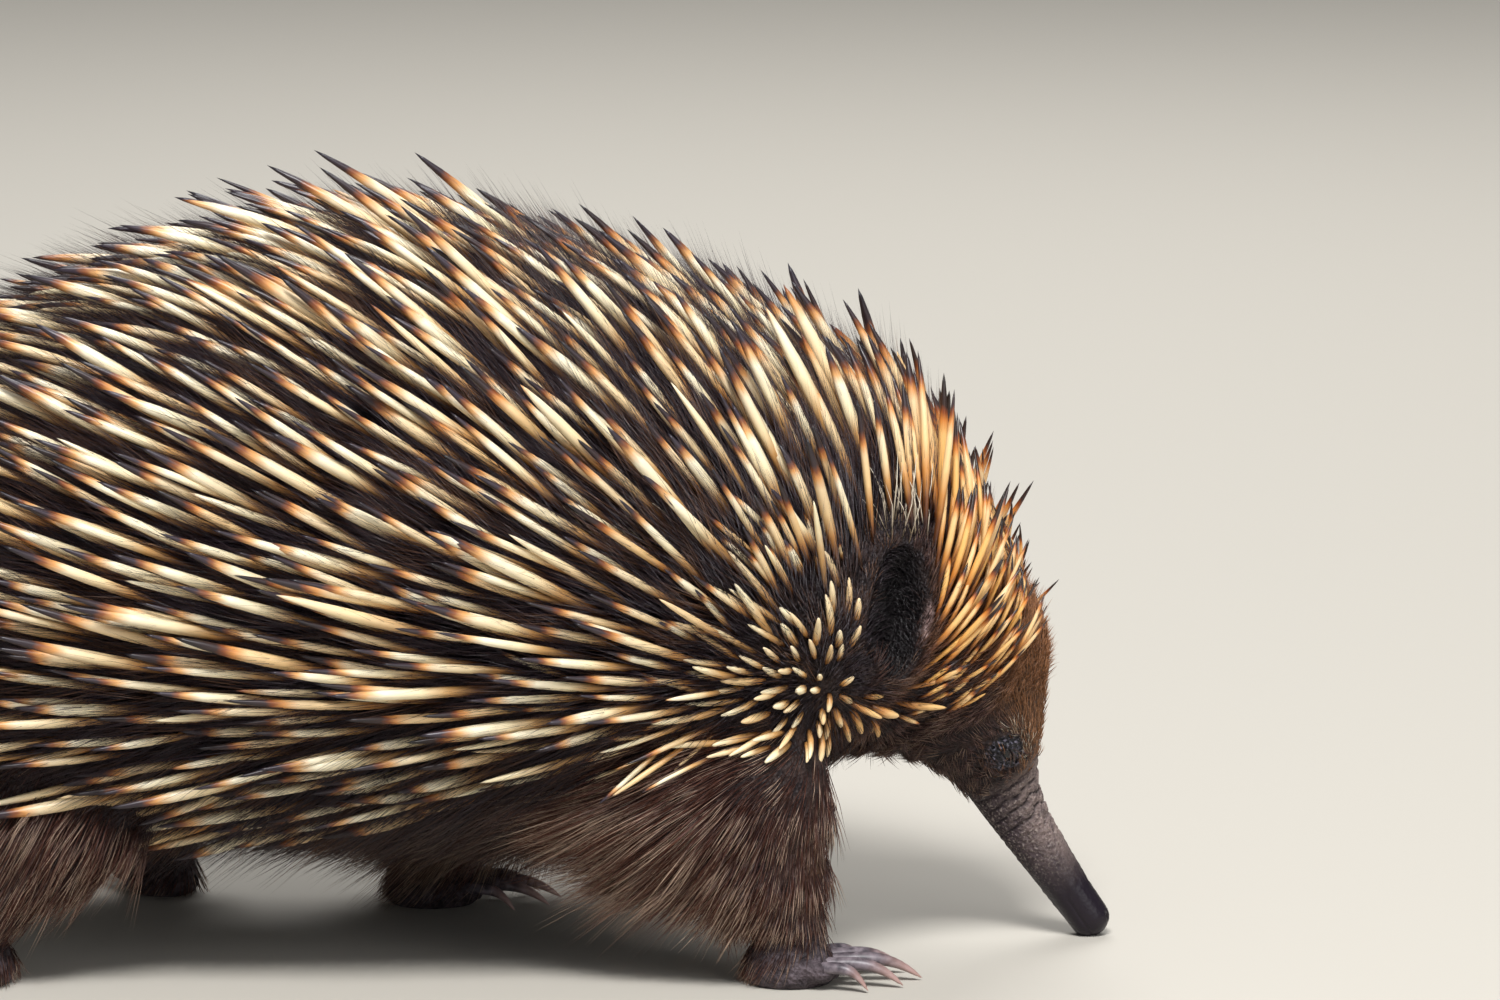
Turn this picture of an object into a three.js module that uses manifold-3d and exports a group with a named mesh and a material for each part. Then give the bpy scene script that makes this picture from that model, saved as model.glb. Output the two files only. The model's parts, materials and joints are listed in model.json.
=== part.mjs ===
// A short-beaked echidna at a walk, life size, its head bowed so that the tip of the beak touches
// the ground. The right side leads: right forefoot forward, left forefoot set back.
// Millimetres, +X forward, +Y the animal's left, +Z up. The animal is modelled over a ground at
// z = 0 and then centred, so the origin is the middle of its box, on the ground.

import * as THREE from 'three';
import { mergeVertices } from 'three/addons/utils/BufferGeometryUtils.js';
import Module from 'manifold-3d';

const wasm = await Module();
wasm.setup();

// Driving dimensions

// Sections of the body from the tip of the tail to the tip of the beak: the place of the middle,
// the tilt of the body's line (degrees, nose down is positive), the half width, the reach above
// and below the middle, all to the skin, and the depth of the coat's dense core over the skin.
const sections = [
  { x: -88, z: 40, tilt: -62, half: 5, above: 4, below: 4, coat: 2 },
  { x: -80, z: 51, tilt: -56, half: 12, above: 8, below: 8, coat: 3 },
  { x: -69, z: 65, tilt: -42, half: 25, above: 18, below: 17, coat: 5 },
  { x: -57, z: 75, tilt: -30, half: 43, above: 33, below: 31, coat: 7 },
  { x: -37, z: 84, tilt: -20, half: 59, above: 48, below: 45, coat: 8 },
  { x: 14, z: 101, tilt: -6, half: 73, above: 69, below: 66, coat: 9 },
  { x: 71, z: 112, tilt: 0, half: 78, above: 80, below: 78, coat: 9 },
  { x: 128, z: 114.5, tilt: 0, half: 78, above: 82, below: 80, coat: 9 },
  { x: 183, z: 107.5, tilt: 4, half: 73, above: 74, below: 72, coat: 9 },
  { x: 222, z: 99.5, tilt: 10, half: 64, above: 62, below: 60, coat: 8 },
  { x: 244, z: 93, tilt: 22, half: 53, above: 51, below: 49, coat: 7 },
  { x: 261, z: 84.5, tilt: 38, half: 39, above: 38, below: 36, coat: 5 },
  { x: 277, z: 71, tilt: 50, half: 26, above: 27, below: 26, coat: 2.5 },
  { x: 284, z: 54.5, tilt: 57, half: 16, above: 15.5, below: 15, coat: 1.5 },
  { x: 289.7, z: 38, tilt: 57, half: 9.5, above: 9, below: 9, coat: 0 },
  { x: 303.7, z: 15.8, tilt: 57, half: 6.4, above: 6.4, below: 6.4, coat: 0 },
  { x: 311.2, z: 5.2, tilt: 57, half: 5.8, above: 5.8, below: 5.8, coat: 0 },
];
const bellyPower = 2.5; // the belly is a little flatter than an ellipse
const bellyCoat = 0.45; // share of the core's depth that the belly has
const gap = 0.3; // between touching pieces

// Where the body is parted: each line is the x of the body's middle at the cut.
const tailEnd = -69;
const torsoEnd = 222;
const neckEnd = 249;
const headEnd = 289.7;

// Spines
const whorl = new THREE.Vector3(236, 60, 82); // behind the ear, where the spines part
const spineSpacing = 23.4;
const neckSpineSpacing = 13.5;
const headSpineSpacing = 11;
const spineBand = 138; // degrees that the spines reach down each flank from the back
const spineSunk = 3.2; // depth of each root under the core's surface
const shortSpine = 26; // under this length a spine is straight from its middle to its tip
const spineBend = 0.11; // how far a tip bends back to the body, as a share of its length

// Head
const eye = { x: 286.4, z: 57.5, radius: 4, sunk: 2.1 };
const lid = { radius: 4.9, thick: 1.7 };
const ear = { x: 256.5, z: 101, long: 21, wide: 9, deep: 8, wall: 1.8, proud: 1.6, lean: 10 };
const mouth = { length: 9, width: 0.8, below: 2 };
const nostril = { radius: 0.9, side: 2.1, back: 1 };

// Legs, from the shoulder or hip down to the top of the foot: the height and middle of each
// level section, and its half length and half width.
const footHeight = 12;
const legs = [
  {
    name: 'fore_right', side: -1, fan: { x: 235, z: 82 },
    levels: [
      { z: 90, x: 204, y: 38, long: 20, wide: 8 },
      { z: 72, x: 201, y: 48, long: 33, wide: 18 },
      { z: 52, x: 203, y: 54, long: 33, wide: 19 },
      { z: 34, x: 212, y: 57, long: 23, wide: 16 },
      { z: 21, x: 221, y: 60, long: 13, wide: 12 },
      { z: footHeight, x: 224, y: 60, long: 10, wide: 10 },
    ],
    foot: { x: 225, y: 60, heading: -3, long: 13, wide: 11.5 },
    claws: [12, 20, 24, 22, 14], spread: 11, clawWidth: 2.1,
  },
  {
    name: 'fore_left', side: 1, fan: { x: 235, z: 82 },
    levels: [
      { z: 90, x: 200, y: 38, long: 20, wide: 8 },
      { z: 72, x: 192, y: 48, long: 31, wide: 17 },
      { z: 52, x: 173, y: 51, long: 30, wide: 17 },
      { z: 34, x: 149, y: 48, long: 21, wide: 14 },
      { z: 21, x: 128, y: 44, long: 13, wide: 11 },
      { z: footHeight, x: 119, y: 42, long: 10, wide: 9.5 },
    ],
    foot: { x: 121, y: 42, heading: 4, long: 14, wide: 12 },
    claws: [12, 20, 24, 22, 14], spread: 11, clawWidth: 2.1,
  },
  {
    name: 'hind_right', side: -1, fan: null,
    levels: [
      { z: 88, x: 12, y: 38, long: 20, wide: 8 },
      { z: 68, x: 15, y: 48, long: 36, wide: 18 },
      { z: 48, x: 16, y: 53, long: 37, wide: 20 },
      { z: 32, x: 8, y: 56, long: 26, wide: 17 },
      { z: 21, x: 0, y: 59, long: 14, wide: 12 },
      { z: footHeight, x: -3, y: 60, long: 10, wide: 10 },
    ],
    foot: { x: -5, y: 62, heading: 128, long: 15, wide: 11 },
    claws: [7, 32, 22, 13, 8], spread: 10, clawWidth: 1.8,
  },
  {
    name: 'hind_left', side: 1, fan: null,
    levels: [
      { z: 88, x: 22, y: 38, long: 20, wide: 8 },
      { z: 68, x: 28, y: 48, long: 36, wide: 18 },
      { z: 48, x: 36, y: 52, long: 35, wide: 19 },
      { z: 32, x: 40, y: 55, long: 25, wide: 16 },
      { z: 21, x: 42, y: 57, long: 14, wide: 12 },
      { z: footHeight, x: 42, y: 58, long: 10, wide: 10 },
    ],
    foot: { x: 40, y: 60, heading: 112, long: 15, wide: 11 },
    claws: [7, 32, 22, 13, 8], spread: 10, clawWidth: 1.8,
  },
];

const finish = (color, roughness) => new THREE.MeshStandardMaterial({ color, roughness, metalness: 0 });
const spinyCoat = finish('#9c7a4e', 0.6);
const bristlyCoat = finish('#4a342b', 0.8);
const faceCoat = finish('#6b4630', 0.8);
const beakSkin = finish('#5d5257', 0.55);
const footSkin = finish('#6a5d60', 0.6);
const clawHorn = finish('#77696b', 0.45);
const eyeGlass = finish('#11131c', 0.12);
const earSkin = finish('#6c4d49', 0.7);

// Steady random numbers, the same at every run
function draws(seed) {
  let state = seed;
  return () => {
    state = (state * 1664525 + 1013904223) % 4294967296;
    return state / 4294967296;
  };
}

const mix = THREE.MathUtils.lerp;
const ease = (value, from, to) => THREE.MathUtils.smoothstep(value, from, to);
const radians = THREE.MathUtils.degToRad;

// Solids

function solidFrom(geometry) {
  geometry.deleteAttribute('normal');
  geometry.deleteAttribute('uv');
  const merged = mergeVertices(geometry);
  const place = merged.attributes.position;
  const point = (i) => new THREE.Vector3().fromBufferAttribute(place, i);
  const faces = [];
  let volume = 0;
  for (let i = 0; i < merged.index.count; i += 3) {
    const [a, b, c] = merged.index.array.slice(i, i + 3);
    if (a === b || b === c || c === a) continue;
    faces.push([a, b, c]);
    volume += point(a).dot(point(b).cross(point(c)));
  }
  if (volume < 0) faces.forEach((face) => face.reverse());
  return new wasm.Manifold(new wasm.Mesh({
    numProp: 3,
    vertProperties: new Float32Array(place.array),
    triVerts: new Uint32Array(faces.flat()),
  }));
}

function largest(solid) {
  return solid.decompose().reduce((best, piece) => (piece.volume() > best.volume() ? piece : best));
}

function meshFrom(solid, name, material) {
  const { vertProperties, triVerts } = largest(solid).simplify(0.04).getMesh();
  const geometry = new THREE.BufferGeometry();
  geometry.setAttribute('position', new THREE.BufferAttribute(vertProperties, 3));
  geometry.setIndex(new THREE.BufferAttribute(triVerts, 1));
  geometry.computeVertexNormals();
  const mesh = new THREE.Mesh(geometry, material);
  mesh.name = name;
  return mesh;
}

// A tube of sections: place(along, turn) gives the surface, middle(along) the axis, along is 0 to 1.
function loft(sides, bands, place, middle) {
  const geometry = new THREE.CylinderGeometry(1, 1, 1, sides, bands);
  const position = geometry.attributes.position;
  for (let i = 0; i < position.count; i += 1) {
    const along = 0.5 - position.getY(i);
    const reach = Math.hypot(position.getX(i), position.getZ(i));
    const turn = Math.atan2(position.getX(i), position.getZ(i));
    const point = middle(along);
    if (reach > 0.5) point.copy(place(along, turn));
    position.setXYZ(i, point.x, point.y, point.z);
  }
  return solidFrom(geometry);
}

// Body

const distances = [0];
for (let i = 1; i < sections.length; i += 1) {
  const [from, to] = [sections[i - 1], sections[i]];
  distances.push(distances[i - 1] + Math.hypot(to.x - from.x, to.z - from.z));
}
const bodyLength = distances.at(-1);

// Any measure of the sections, carried smoothly from one to the next
function measure(name, distance) {
  let i = 1;
  while (i < sections.length - 1 && distances[i] < distance) i += 1;
  const slope = (k) => {
    const [from, to] = [Math.max(k - 1, 0), Math.min(k + 1, sections.length - 1)];
    return (sections[to][name] - sections[from][name]) / (distances[to] - distances[from]);
  };
  const span = distances[i] - distances[i - 1];
  const t = THREE.MathUtils.clamp((distance - distances[i - 1]) / span, 0, 1);
  const [start, end] = [sections[i - 1][name], sections[i][name]];
  return start * (1 + 2 * t) * (1 - t) ** 2 + end * t * t * (3 - 2 * t)
    + span * (slope(i - 1) * t * (1 - t) ** 2 - slope(i) * t * t * (1 - t));
}

function distanceAt(x) {
  let [low, high] = [0, bodyLength];
  for (let i = 0; i < 30; i += 1) {
    const half = (low + high) / 2;
    if (measure('x', half) < x) low = half;
    else high = half;
  }
  return low;
}

function bodyMiddle(distance) {
  return new THREE.Vector3(measure('x', distance), 0, measure('z', distance));
}

function bodyAxes(distance) {
  const tilt = radians(measure('tilt', distance));
  return {
    ahead: new THREE.Vector3(Math.cos(tilt), 0, -Math.sin(tilt)),
    above: new THREE.Vector3(Math.sin(tilt), 0, Math.cos(tilt)),
  };
}

function coreDepth(distance, rise) {
  return measure('coat', distance) * mix(bellyCoat, 1, ease(rise, -0.75, 0.1));
}

// A point over the skin: turn is 0 along the back and a half turn under the belly.
function bodyPoint(distance, turn, proud) {
  const rise = Math.cos(turn);
  const across = Math.sin(turn);
  const power = rise < 0 ? 2 / bellyPower : 1;
  const depth = coreDepth(distance, rise) + proud;
  const reach = measure(rise < 0 ? 'below' : 'above', distance) + depth;
  const width = measure('half', distance) + depth;
  return bodyMiddle(distance)
    .addScaledVector(bodyAxes(distance).above, reach * Math.sign(rise) * Math.abs(rise) ** power)
    .add(new THREE.Vector3(0, width * Math.sign(across) * Math.abs(across) ** power, 0));
}

function bodyNormal(distance, turn) {
  const step = 0.02;
  const alongBody = bodyPoint(distance + 1, turn, 0).sub(bodyPoint(distance - 1, turn, 0));
  const aroundBody = bodyPoint(distance, turn + step, 0).sub(bodyPoint(distance, turn - step, 0));
  return alongBody.cross(aroundBody).normalize();
}

// The body between two cuts, flat at both. The front cut stands back by the gap, square to it.
function bodyPart({ from, to, sides, bands, proud = 0, frontGap = gap, shape = null }) {
  const span = to - from;
  const shift = (along) => bodyAxes(from + span * along).ahead.multiplyScalar(along === 1 ? -frontGap : 0);
  return loft(
    sides,
    bands,
    (along, turn) => {
      const point = bodyPoint(from + span * along, turn, proud);
      if (shape) shape(point, from + span * along, turn);
      return point.add(shift(along));
    },
    (along) => bodyMiddle(from + span * along).add(shift(along)),
  );
}

// Height of a point over the core, and how far along the body it lies
function bodyHeight(point) {
  let best = { height: Infinity, distance: 0 };
  const offset = (distance) => point.clone().sub(bodyMiddle(distance)).dot(bodyAxes(distance).ahead);
  const stride = 6;
  for (let start = 0; start < bodyLength; start += stride) {
    if (offset(start) < 0 || offset(start + stride) > 0) continue;
    let [low, high] = [start, start + stride];
    for (let i = 0; i < 8; i += 1) {
      const half = (low + high) / 2;
      if (offset(half) > 0) low = half;
      else high = half;
    }
    const rise = point.clone().sub(bodyMiddle(low)).dot(bodyAxes(low).above);
    const depth = coreDepth(low, rise / Math.max(Math.hypot(rise, point.y), 1));
    const reach = rise < 0 ? 'below' : 'above';
    const power = rise < 0 ? bellyPower : 2;
    const share = (Math.abs(point.y / (measure('half', low) + depth)) ** power
      + Math.abs(rise / (measure(reach, low) + depth)) ** power) ** (1 / power);
    const height = Math.hypot(rise, point.y) * (1 - 1 / share);
    if (height < best.height) best = { height, distance: low };
  }
  return best;
}

// The place on the core's surface at one side of an x and z, and the way the surface faces
function onFlank({ x, z }, side) {
  let [inner, outer] = [0, 120];
  for (let i = 0; i < 24; i += 1) {
    const half = (inner + outer) / 2;
    if (bodyHeight(new THREE.Vector3(x, half, z)).height > 0) outer = half;
    else inner = half;
  }
  const point = new THREE.Vector3(x, side * inner, z);
  const steps = ['x', 'y', 'z'].map((axis) => {
    const [back, front] = [point.clone(), point.clone()];
    back[axis] -= 1;
    front[axis] += 1;
    return bodyHeight(front).height - bodyHeight(back).height;
  });
  return { point, normal: new THREE.Vector3(...steps).normalize() };
}

// Legs

function legMeasure(leg, name, z) {
  const { levels } = leg;
  let i = 1;
  while (i < levels.length - 1 && levels[i].z > z) i += 1;
  const [upper, lower] = [levels[i - 1], levels[i]];
  const t = THREE.MathUtils.clamp((upper.z - z) / (upper.z - lower.z), 0, 1);
  return mix(upper[name], lower[name], name === 'x' || name === 'y' ? t : t * t * (3 - 2 * t));
}

function legMiddle(leg, z) {
  return new THREE.Vector3(legMeasure(leg, 'x', z), leg.side * legMeasure(leg, 'y', z), z);
}

function legPoint(leg, z, turn, proud = 0) {
  return legMiddle(leg, z).add(new THREE.Vector3(
    Math.cos(turn) * (legMeasure(leg, 'long', z) + proud),
    leg.side * Math.sin(turn) * (legMeasure(leg, 'wide', z) + proud),
    0,
  ));
}

function legHeight(leg, point) {
  const { levels } = leg;
  if (point.z > levels[0].z + 3) return Infinity;
  const z = THREE.MathUtils.clamp(point.z, 0, levels[0].z);
  const offset = point.clone().sub(legMiddle(leg, z));
  const share = Math.hypot(offset.x / legMeasure(leg, 'long', z), offset.y / legMeasure(leg, 'wide', z));
  return Math.hypot(offset.x, offset.y) * (1 - 1 / Math.max(share, 0.01));
}

// Whether a point keeps clear of a foot and the claws in front of it
function clearsFoot(leg, point, reach) {
  if (point.z > footHeight + reach + 0.7) return true;
  const { x, y, heading, long, wide } = leg.foot;
  const offset = point.clone().sub(new THREE.Vector3(x, leg.side * y, point.z))
    .applyAxisAngle(new THREE.Vector3(0, 0, 1), -radians(leg.side * heading));
  const clawReach = offset.x > 0 ? Math.max(...leg.claws) : 0;
  const room = reach + 1;
  return Math.hypot(offset.x / (long + clawReach + room), offset.y / (wide + clawReach / 3 + room)) > 1;
}

// Spines and locks

// A tapering shaft along a path that ends in a point, round or flat across
function shaft(path, widths, thicknesses, across, sides) {
  const bands = path.length - 1;
  const ring = (along) => Math.round(along * bands);
  return loft(
    sides,
    bands,
    (along, turn) => {
      const i = ring(along);
      const axis = path[Math.min(i + 1, bands)].clone().sub(path[Math.max(i - 1, 0)]).normalize();
      const side = across.clone().addScaledVector(axis, -across.dot(axis)).normalize();
      const proud = side.clone().cross(axis);
      return path[i].clone()
        .addScaledVector(side, widths[i] * Math.sin(turn))
        .addScaledVector(proud, thicknesses[i] * Math.cos(turn));
    },
    (along) => path[ring(along)].clone(),
  );
}

const placed = []; // points along every spine and lock set so far, with their reach

function isClear(samples, owner, range, mayTouch) {
  return samples.every(({ point, reach }) => {
    if (point.z < reach + 0.6) return false;
    for (const leg of legs) {
      if (leg.name !== owner && legHeight(leg, point) < reach + 1.6) return false;
      if (!clearsFoot(leg, point, reach)) return false;
    }
    const { height, distance } = bodyHeight(point);
    const outside = distance < range[0] + reach + 1 || distance > range[1] - reach - 1;
    if (outside && height < reach + 0.6) return false;
    return placed.every((other) => {
      if (mayTouch && other.owner === owner) return true;
      const room = reach + other.reach + (other.owner === owner ? 0.1 : 0.6);
      return other.point.distanceToSquared(point) > room * room;
    });
  });
}

// One spine or lock: it leaves the surface along lean, lifted from it, and bends back. A lock may
// lie on others of its own part.
function growth({ root, normal, lean, length, width, thick, lift, bend, sides, owner, range, mayTouch }) {
  const across = normal.clone().cross(lean).normalize();
  const at = (u, angle) => root.clone()
    .addScaledVector(lean, length * u * Math.cos(angle))
    .addScaledVector(normal, length * (u * Math.sin(angle) - bend * u * u));
  for (let extra = 0; extra <= 24; extra += 6) {
    const angle = radians(lift + extra);
    const samples = [];
    for (let u = 0.15; u <= 1.001; u += 0.075) {
      const taper = Math.min(1, (1.04 - u) * 2.4);
      samples.push({ point: at(u, angle), reach: ((width + thick) / 2) * taper, owner });
    }
    if (!isClear(samples, owner, range, mayTouch)) continue;
    placed.push(...samples);
    const buried = root.clone().addScaledVector(normal, -spineSunk).addScaledVector(lean, -1);
    const shares = length < shortSpine ? [0.65, 1, 0] : [0.65, 1, 0.62, 0];
    const joints = length < shortSpine ? [0.45, 1] : [0.42, 0.76, 1];
    return shaft(
      [buried, ...joints.map((u) => at(u, angle))],
      shares.map((share) => share * width),
      shares.map((share) => share * thick),
      across,
      sides,
    );
  }
  return null;
}

// The way a spine lies at a point: away from the whorl behind the ear, more and more to the rear
function spineLean(point, normal) {
  const away = new THREE.Vector2(point.x - whorl.x, point.z - whorl.z);
  const far = away.length();
  away.normalize();
  const rear = radians(mix(188, 150, ease(point.z, 50, 105)) + 22 * ease(-point.x, 0, 60));
  const pull = 0.75 * ease(far, 0, 32) + 0.5 * ease(far, 32, 130);
  away.x += pull * Math.cos(rear);
  away.y += pull * Math.sin(rear);
  const lean = new THREE.Vector3(away.x, 0, away.y);
  return lean.addScaledVector(normal, -lean.dot(normal)).normalize();
}

function whorlDistance(point) {
  return Math.hypot(point.x - whorl.x, Math.abs(point.y) - whorl.y, point.z - whorl.z);
}

// Spines over one part of the body, in staggered rows from the back down both flanks
function spinesOver({ from, to, spacing, owner, seed, sides, grows }) {
  const random = draws(seed);
  const vary = (share) => 1 + share * (2 * random() - 1);
  const range = [from, to];
  const found = [];
  const rows = Math.round((to - from - 9) / (spacing * 0.87));
  for (let row = 0; row <= rows; row += 1) {
    const along = from + 4.5 + (to - from - 9) * (row / rows);
    const girth = measure('half', along) + measure('coat', along);
    const step = spacing / girth;
    const columns = Math.floor(radians(spineBand) / step);
    for (let column = -columns; column <= columns; column += 1) {
      const place = THREE.MathUtils.clamp(along + (random() - 0.5) * spacing * 0.4, from + 4, to - 4);
      const turn = (column + (row % 2) / 2 + (random() - 0.5) * 0.4) * step;
      const root = bodyPoint(place, turn, 0);
      const normal = bodyNormal(place, turn);
      const kind = grows(root, place, turn);
      const long = random() < 0.05;
      const draw = { length: vary(0.14), width: vary(0.2), lift: vary(0.12) };
      if (!kind) continue;
      const width = kind.width * draw.width;
      const spine = growth({
        root, normal, lean: spineLean(root, normal), owner, range, sides,
        length: kind.length * draw.length * (long ? 1.25 : 1),
        width, thick: width,
        lift: kind.lift * draw.lift + (long ? 7 : 0),
        bend: spineBend,
      });
      if (spine) found.push(spine);
    }
  }
  return found;
}

// Size of a spine by its place. None grows low down at the shoulder, where the hair takes over.
function spineKind(root, place) {
  if (root.z < mix(44, 76, ease(root.x, 95, 225))) return null;
  const near = whorlDistance(root);
  const rump = ease(-root.x, 20, 70);
  const low = 1 - ease(root.z, 55, 95);
  const grown = ease(near, 6, 62);
  return {
    length: mix(15, 48, grown) * mix(1, 0.82, rump) * mix(1, 0.88, low),
    width: mix(1.7, 2.3, grown),
    lift: mix(68, 27, ease(near, 4, 34)) + 6 * rump - 5 * low,
    place,
  };
}

// Face: no spines in front of this reach round the eye, below the cheek or in the ear
function headSpineKind(root, place) {
  const fromEye = Math.hypot(root.x - eye.x, root.z - eye.z);
  if (fromEye < 33 || root.z < 66) return null;
  if (inEar(root, 3.5)) return null;
  const grown = ease(whorlDistance(root), 6, 60);
  const brow = ease(fromEye, 33, 62);
  return {
    length: mix(14, 34, grown) * mix(0.6, 1, brow),
    width: mix(1.3, 1.7, brow),
    lift: mix(50, 27, ease(whorlDistance(root), 6, 34)),
    place,
  };
}

function neckSpineKind(root, place) {
  if (root.z < 58 || inEar(root, 3.5)) return null;
  return spineKind(root, place);
}

function inEar(point, margin) {
  const offset = new THREE.Vector3(point.x - ear.x, 0, point.z - ear.z)
    .applyAxisAngle(new THREE.Vector3(0, 1, 0), radians(-ear.lean));
  return Math.hypot(offset.x / (ear.wide + margin), offset.z / (ear.long + margin)) < 1;
}

// Locks of long coarse hair along the lower flank, from the foreleg to the rump
function flankLocks(range) {
  const random = draws(41);
  const found = [];
  for (const side of [-1, 1]) {
    for (const tier of [0, 1]) {
      for (let x = -40 + 10 * tier; x < 190; x += 21) {
        const place = distanceAt(x + 4 * random());
        const turn = side * radians(128 + 11 * tier + 5 * random());
        const root = bodyPoint(place, turn, 0);
        const normal = bodyNormal(place, turn);
        const lean = new THREE.Vector3(-1, 0, -0.4 - 0.3 * random());
        lean.addScaledVector(normal, -lean.dot(normal)).normalize();
        const lock = growth({
          root, normal, lean, owner: 'torso', range, sides: 4, mayTouch: true,
          length: 30 + 8 * random(), width: 4.4, thick: 1, lift: 6 + 5 * random(), bend: -0.05,
        });
        if (lock) found.push(lock);
      }
    }
  }
  return found;
}

// Locks over a leg. A foreleg's hair streams away from a point at the shoulder, a hind leg's
// falls down and back.
function legLocks(leg, seed) {
  const random = draws(seed);
  const found = [];
  const [top, bottom, tiers] = [64, 21, 3];
  for (let tier = 0; tier < tiers; tier += 1) {
    const z = mix(top, bottom, tier / (tiers - 1));
    const count = Math.round(legMeasure(leg, 'long', z) / 4.2) + 2;
    for (let k = 0; k < count; k += 1) {
      const turn = radians(mix(-20, 215, (k + 0.5 * (tier % 2) + 0.2 * random()) / count));
      const root = legPoint(leg, z + 3 * random(), turn);
      const ahead = legPoint(leg, root.z, turn + 0.05).sub(legPoint(leg, root.z, turn - 0.05));
      const down = legPoint(leg, root.z - 1.5, turn).sub(legPoint(leg, root.z + 1.5, turn));
      const normal = down.clone().cross(ahead).normalize();
      if (normal.dot(root.clone().sub(legMiddle(leg, root.z))) < 0) normal.negate();
      const lean = leg.fan
        ? new THREE.Vector3(root.x - leg.fan.x, 0, root.z - leg.fan.z)
        : new THREE.Vector3(-0.55, 0, -1);
      lean.addScaledVector(normal, -lean.dot(normal)).normalize();
      const lock = growth({
        root, normal, lean, owner: leg.name, range: [Infinity, -Infinity], sides: 4, mayTouch: true,
        length: Math.min(27 + 6 * random(), (root.z - 9) * 1.15), width: 5, thick: 0.9,
        lift: 6 + 5 * random(), bend: 0.03,
      });
      if (lock) found.push(lock);
    }
  }
  return found;
}

// Head

function ball(radius, place, around = 10, down = 7) {
  const geometry = new THREE.SphereGeometry(radius, around, down);
  geometry.translate(place.x, place.y, place.z);
  return solidFrom(geometry);
}

// Turns a shape made facing +Z, upright along +Y, to face out of the head
function setOnHead(geometry, { point, normal }, proud, lean) {
  const upright = new THREE.Vector3(Math.sin(radians(lean)), 0, Math.cos(radians(lean)));
  upright.addScaledVector(normal, -upright.dot(normal)).normalize();
  const turn = new THREE.Matrix4().makeBasis(upright.clone().cross(normal), upright, normal);
  geometry.applyMatrix4(turn.setPosition(point.clone().addScaledVector(normal, proud)));
  return solidFrom(geometry);
}

// The ear is a long shallow cup set in the side of the head, its rim just proud of the core.
function earShape(side, extra) {
  const geometry = new THREE.SphereGeometry(1, 12, 6);
  geometry.scale(ear.wide + extra, ear.long + extra, ear.deep + extra);
  return setOnHead(geometry, onFlank(ear, side), ear.proud - ear.deep * 0.55, ear.lean);
}

function earCup(side) {
  const hollow = new THREE.SphereGeometry(1, 10, 6);
  hollow.scale(ear.wide - ear.wall, ear.long - ear.wall, ear.deep);
  return earShape(side, 0)
    .subtract(setOnHead(hollow, onFlank(ear, side), ear.proud - ear.deep * 0.1, ear.lean));
}

function eyePlace(side) {
  const { point, normal } = onFlank(eye, side);
  return point.addScaledVector(normal, -eye.sunk);
}

function lidRing(side) {
  const ring = new THREE.TorusGeometry(lid.radius, lid.thick, 5, 12);
  ring.scale(1.12, 0.86, 1);
  return setOnHead(ring, onFlank(eye, side), 0, 58);
}

// Folds of skin round the root of the beak, fading towards its tip
function beakFolds(point, distance, turn) {
  const along = (distance - distanceAt(headEnd)) / (bodyLength - distanceAt(headEnd));
  const fold = 0.35 * Math.cos(along * 44) * (1 - ease(along, 0.05, 0.5)) * (0.6 + 0.4 * Math.cos(turn));
  const middle = bodyMiddle(distance);
  point.sub(middle).multiplyScalar(1 + fold / 9).add(middle);
}

function beakTip() {
  const { x, z, half } = sections.at(-1);
  return ball(half, { x, y: 0, z }, 12, 8);
}

function mouthSlit() {
  const tip = sections.at(-1);
  const slit = new THREE.BoxGeometry(mouth.length * 2, 30, mouth.width);
  slit.translate(tip.half, 0, -mouth.below);
  slit.rotateY(radians(tip.tilt));
  slit.translate(tip.x, 0, tip.z);
  return solidFrom(slit);
}

function nostrilPit(side) {
  const tip = sections.at(-1);
  const { ahead, above } = bodyAxes(bodyLength);
  const place = new THREE.Vector3(tip.x, side * nostril.side, tip.z)
    .addScaledVector(above, tip.above - 1)
    .addScaledVector(ahead, nostril.back);
  return ball(nostril.radius, place, 6, 4);
}

// Everything under the ground, cut away to leave small flats to stand on
function underGround() {
  const block = new THREE.BoxGeometry(900, 600, 60);
  block.translate(100, 0, -30);
  return solidFrom(block);
}

// Feet

function footSolid(leg, proud) {
  const { x, y, heading, long, wide } = leg.foot;
  const turnAway = radians(leg.side * heading);
  const rings = [
    { z: footHeight - gap + proud, reach: 0.7, ahead: -2 },
    { z: 9, reach: 0.86, ahead: -1 },
    { z: 4, reach: 1, ahead: 0 },
    { z: 1, reach: 0.95, ahead: 0 },
    { z: 0, reach: 0.86, ahead: 0 },
  ];
  const middle = (along) => {
    const ring = rings[Math.round(along * (rings.length - 1))];
    return new THREE.Vector3(ring.ahead, 0, ring.z)
      .applyAxisAngle(new THREE.Vector3(0, 0, 1), turnAway)
      .add(new THREE.Vector3(x, leg.side * y, 0));
  };
  return loft(
    12,
    rings.length - 1,
    (along, turn) => {
      const { reach } = rings[Math.round(along * (rings.length - 1))];
      const edge = new THREE.Vector3(
        Math.cos(turn) * (long * reach + proud),
        Math.sin(turn) * (wide * reach + proud),
        0,
      );
      return middle(along).add(edge.applyAxisAngle(new THREE.Vector3(0, 0, 1), turnAway));
    },
    middle,
  );
}

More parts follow.
